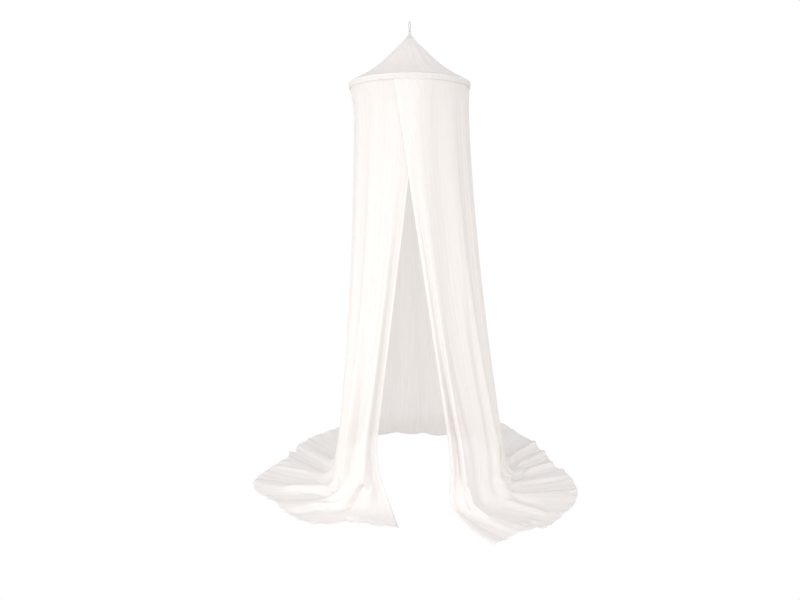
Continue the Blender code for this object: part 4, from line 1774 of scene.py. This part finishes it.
@dataclass(frozen=True)
class PaleFloor:
    """A plain white floor that the light fills almost evenly."""

    level: float
    half_size: float = 30.0
    colour: float = 0.50
    glow: float = 0.41

    def build(self) -> None:
        """Makes the floor."""
        half = self.half_size
        mesh = bpy.data.meshes.new("pale_floor")
        square = [(-half, -half), (half, -half), (half, half), (-half, half)]
        mesh.from_pydata([(x, y, self.level) for x, y in square], [], [(0, 1, 2, 3)])
        floor = link_object("pale_floor", mesh)
        material, tree, shader = start_material("floor_paint")
        paint = {
            "Base Color": (self.colour, self.colour, self.colour, 1.0),
            "Roughness": 1.0,
            "Specular IOR Level": 0.0,
            "Emission Color": WHITE,
            "Emission Strength": self.glow,
        }
        set_inputs(tree, shader, paint)
        both = white_to_camera(tree, "ShaderNodeEmission", shader.outputs[0])
        set_inputs(tree, tree.nodes["Material Output"], {"Surface": both})
        mesh.materials.append(material)


@dataclass(frozen=True)
class Studio:
    """The camera at the photograph's place and a big soft key light from the left in front."""

    sizes: FrameSizes
    camera_left: float = 0.007
    camera_distance: float = 3.318
    camera_height: float = 1.390
    camera_lens: float = 30.0
    sensor_width: float = 36.0
    sees_as_far_as: float = 200.0
    tilt_down_deg: float = 1.53
    turn_left_deg: float = 0.70
    shift_down: float = 0.100
    key_place: tuple[float, float, float] = (-1.5, -2.0, 1.1)
    key_size: float = 2.0
    key_power: float = 13.5
    aim_height: float = 0.9

    def build(self) -> None:
        """Makes the camera, the key light, the world and the floor."""
        self.set_camera()
        self.add_key()
        SoftWorld().build()
        PaleFloor(self.sizes.floor).build()
        bpy.context.scene.view_settings.view_transform = "Standard"

    def set_camera(self) -> None:
        """Puts the camera in front of the opening, at the photograph's height."""
        camera = bpy.data.cameras.new("camera")
        camera.lens = self.camera_lens
        camera.sensor_width = self.sensor_width
        camera.shift_y = -self.shift_down
        camera.clip_end = self.sees_as_far_as
        view = bpy.data.objects.new("camera", camera)
        view.location = (-self.camera_left, -self.camera_distance, self.sizes.floor + self.camera_height)
        view.rotation_euler = (math.radians(90.0 - self.tilt_down_deg), 0.0, math.radians(self.turn_left_deg))
        bpy.context.scene.collection.objects.link(view)
        bpy.context.scene.camera = view

    def add_key(self) -> None:
        """Hangs the key light and turns it towards the middle of the canopy."""
        light = bpy.data.lights.new("key_light", "AREA")
        light.shape = "DISK"
        light.size = self.key_size
        light.energy = self.key_power
        lamp = bpy.data.objects.new("key_light", light)
        x, y, above_floor = self.key_place
        lamp.location = (x, y, self.sizes.floor + above_floor)
        towards = Vector((0.0, 0.0, self.sizes.floor + self.aim_height)) - lamp.location
        lamp.rotation_euler = towards.to_track_quat("-Z", "Y").to_euler()
        lamp.visible_camera = False
        bpy.context.scene.collection.objects.link(lamp)


def dress_hoop() -> None:
    """Gives the hoop's CAD node its plastic."""
    hoop = bpy.data.objects["hoop"]
    plastic = TubeFinish("hoop_plastic").material()
    for slot in hoop.material_slots:
        slot.material = plastic


def corners(box: Sequence[Vector]) -> list[list[float]]:
    """A box's two corners as plain lists of numbers."""
    return [list(corner) for corner in box]


def main() -> None:
    logging.basicConfig(level=logging.INFO, format="%(name)s: %(message)s")
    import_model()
    sizes = FrameSizes.read()
    Studio(sizes).build()

    thread = ThreadFinish("sewing_thread", light=(0.93, 0.91, 0.89), shade=(0.87, 0.85, 0.83)).material()
    cord = ThreadFinish("twisted_cord", light=(0.48, 0.46, 0.44), shade=(0.32, 0.31, 0.30)).material()
    # The cone's net is a darker copy of the wall's net: painted shade on the cone, with a calmer crinkle
    calm = {"light": (0.893, 0.866, 0.850), "shade": (0.880, 0.853, 0.836), "crinkle_depth": 0.0003}
    net = NetFinish("net", NetWall.flat_size).material()
    cone_net_painted_shade = NetFinish("cone_net_painted_shade", GatheredCone.flat_size, **calm).material()
    band_net = NetFinish("band_net", FoldedCasing.flat_size, cover=0.74).material()
    stitching = Stitching(thread)

    wall = NetWall(WallDrape(sizes), net, stitching)
    sheet, *sewn = wall.build()

    gathered = GatheredCone(sizes, cone_net_painted_shade, thread)
    cone, _ = gathered.build()

    casing = FoldedCasing(sizes, band_net, stitching)
    strip, *sewn = casing.build()

    HangingLoop(sizes, cord).build()
    dress_hoop()


if __name__ == "__main__":
    main()
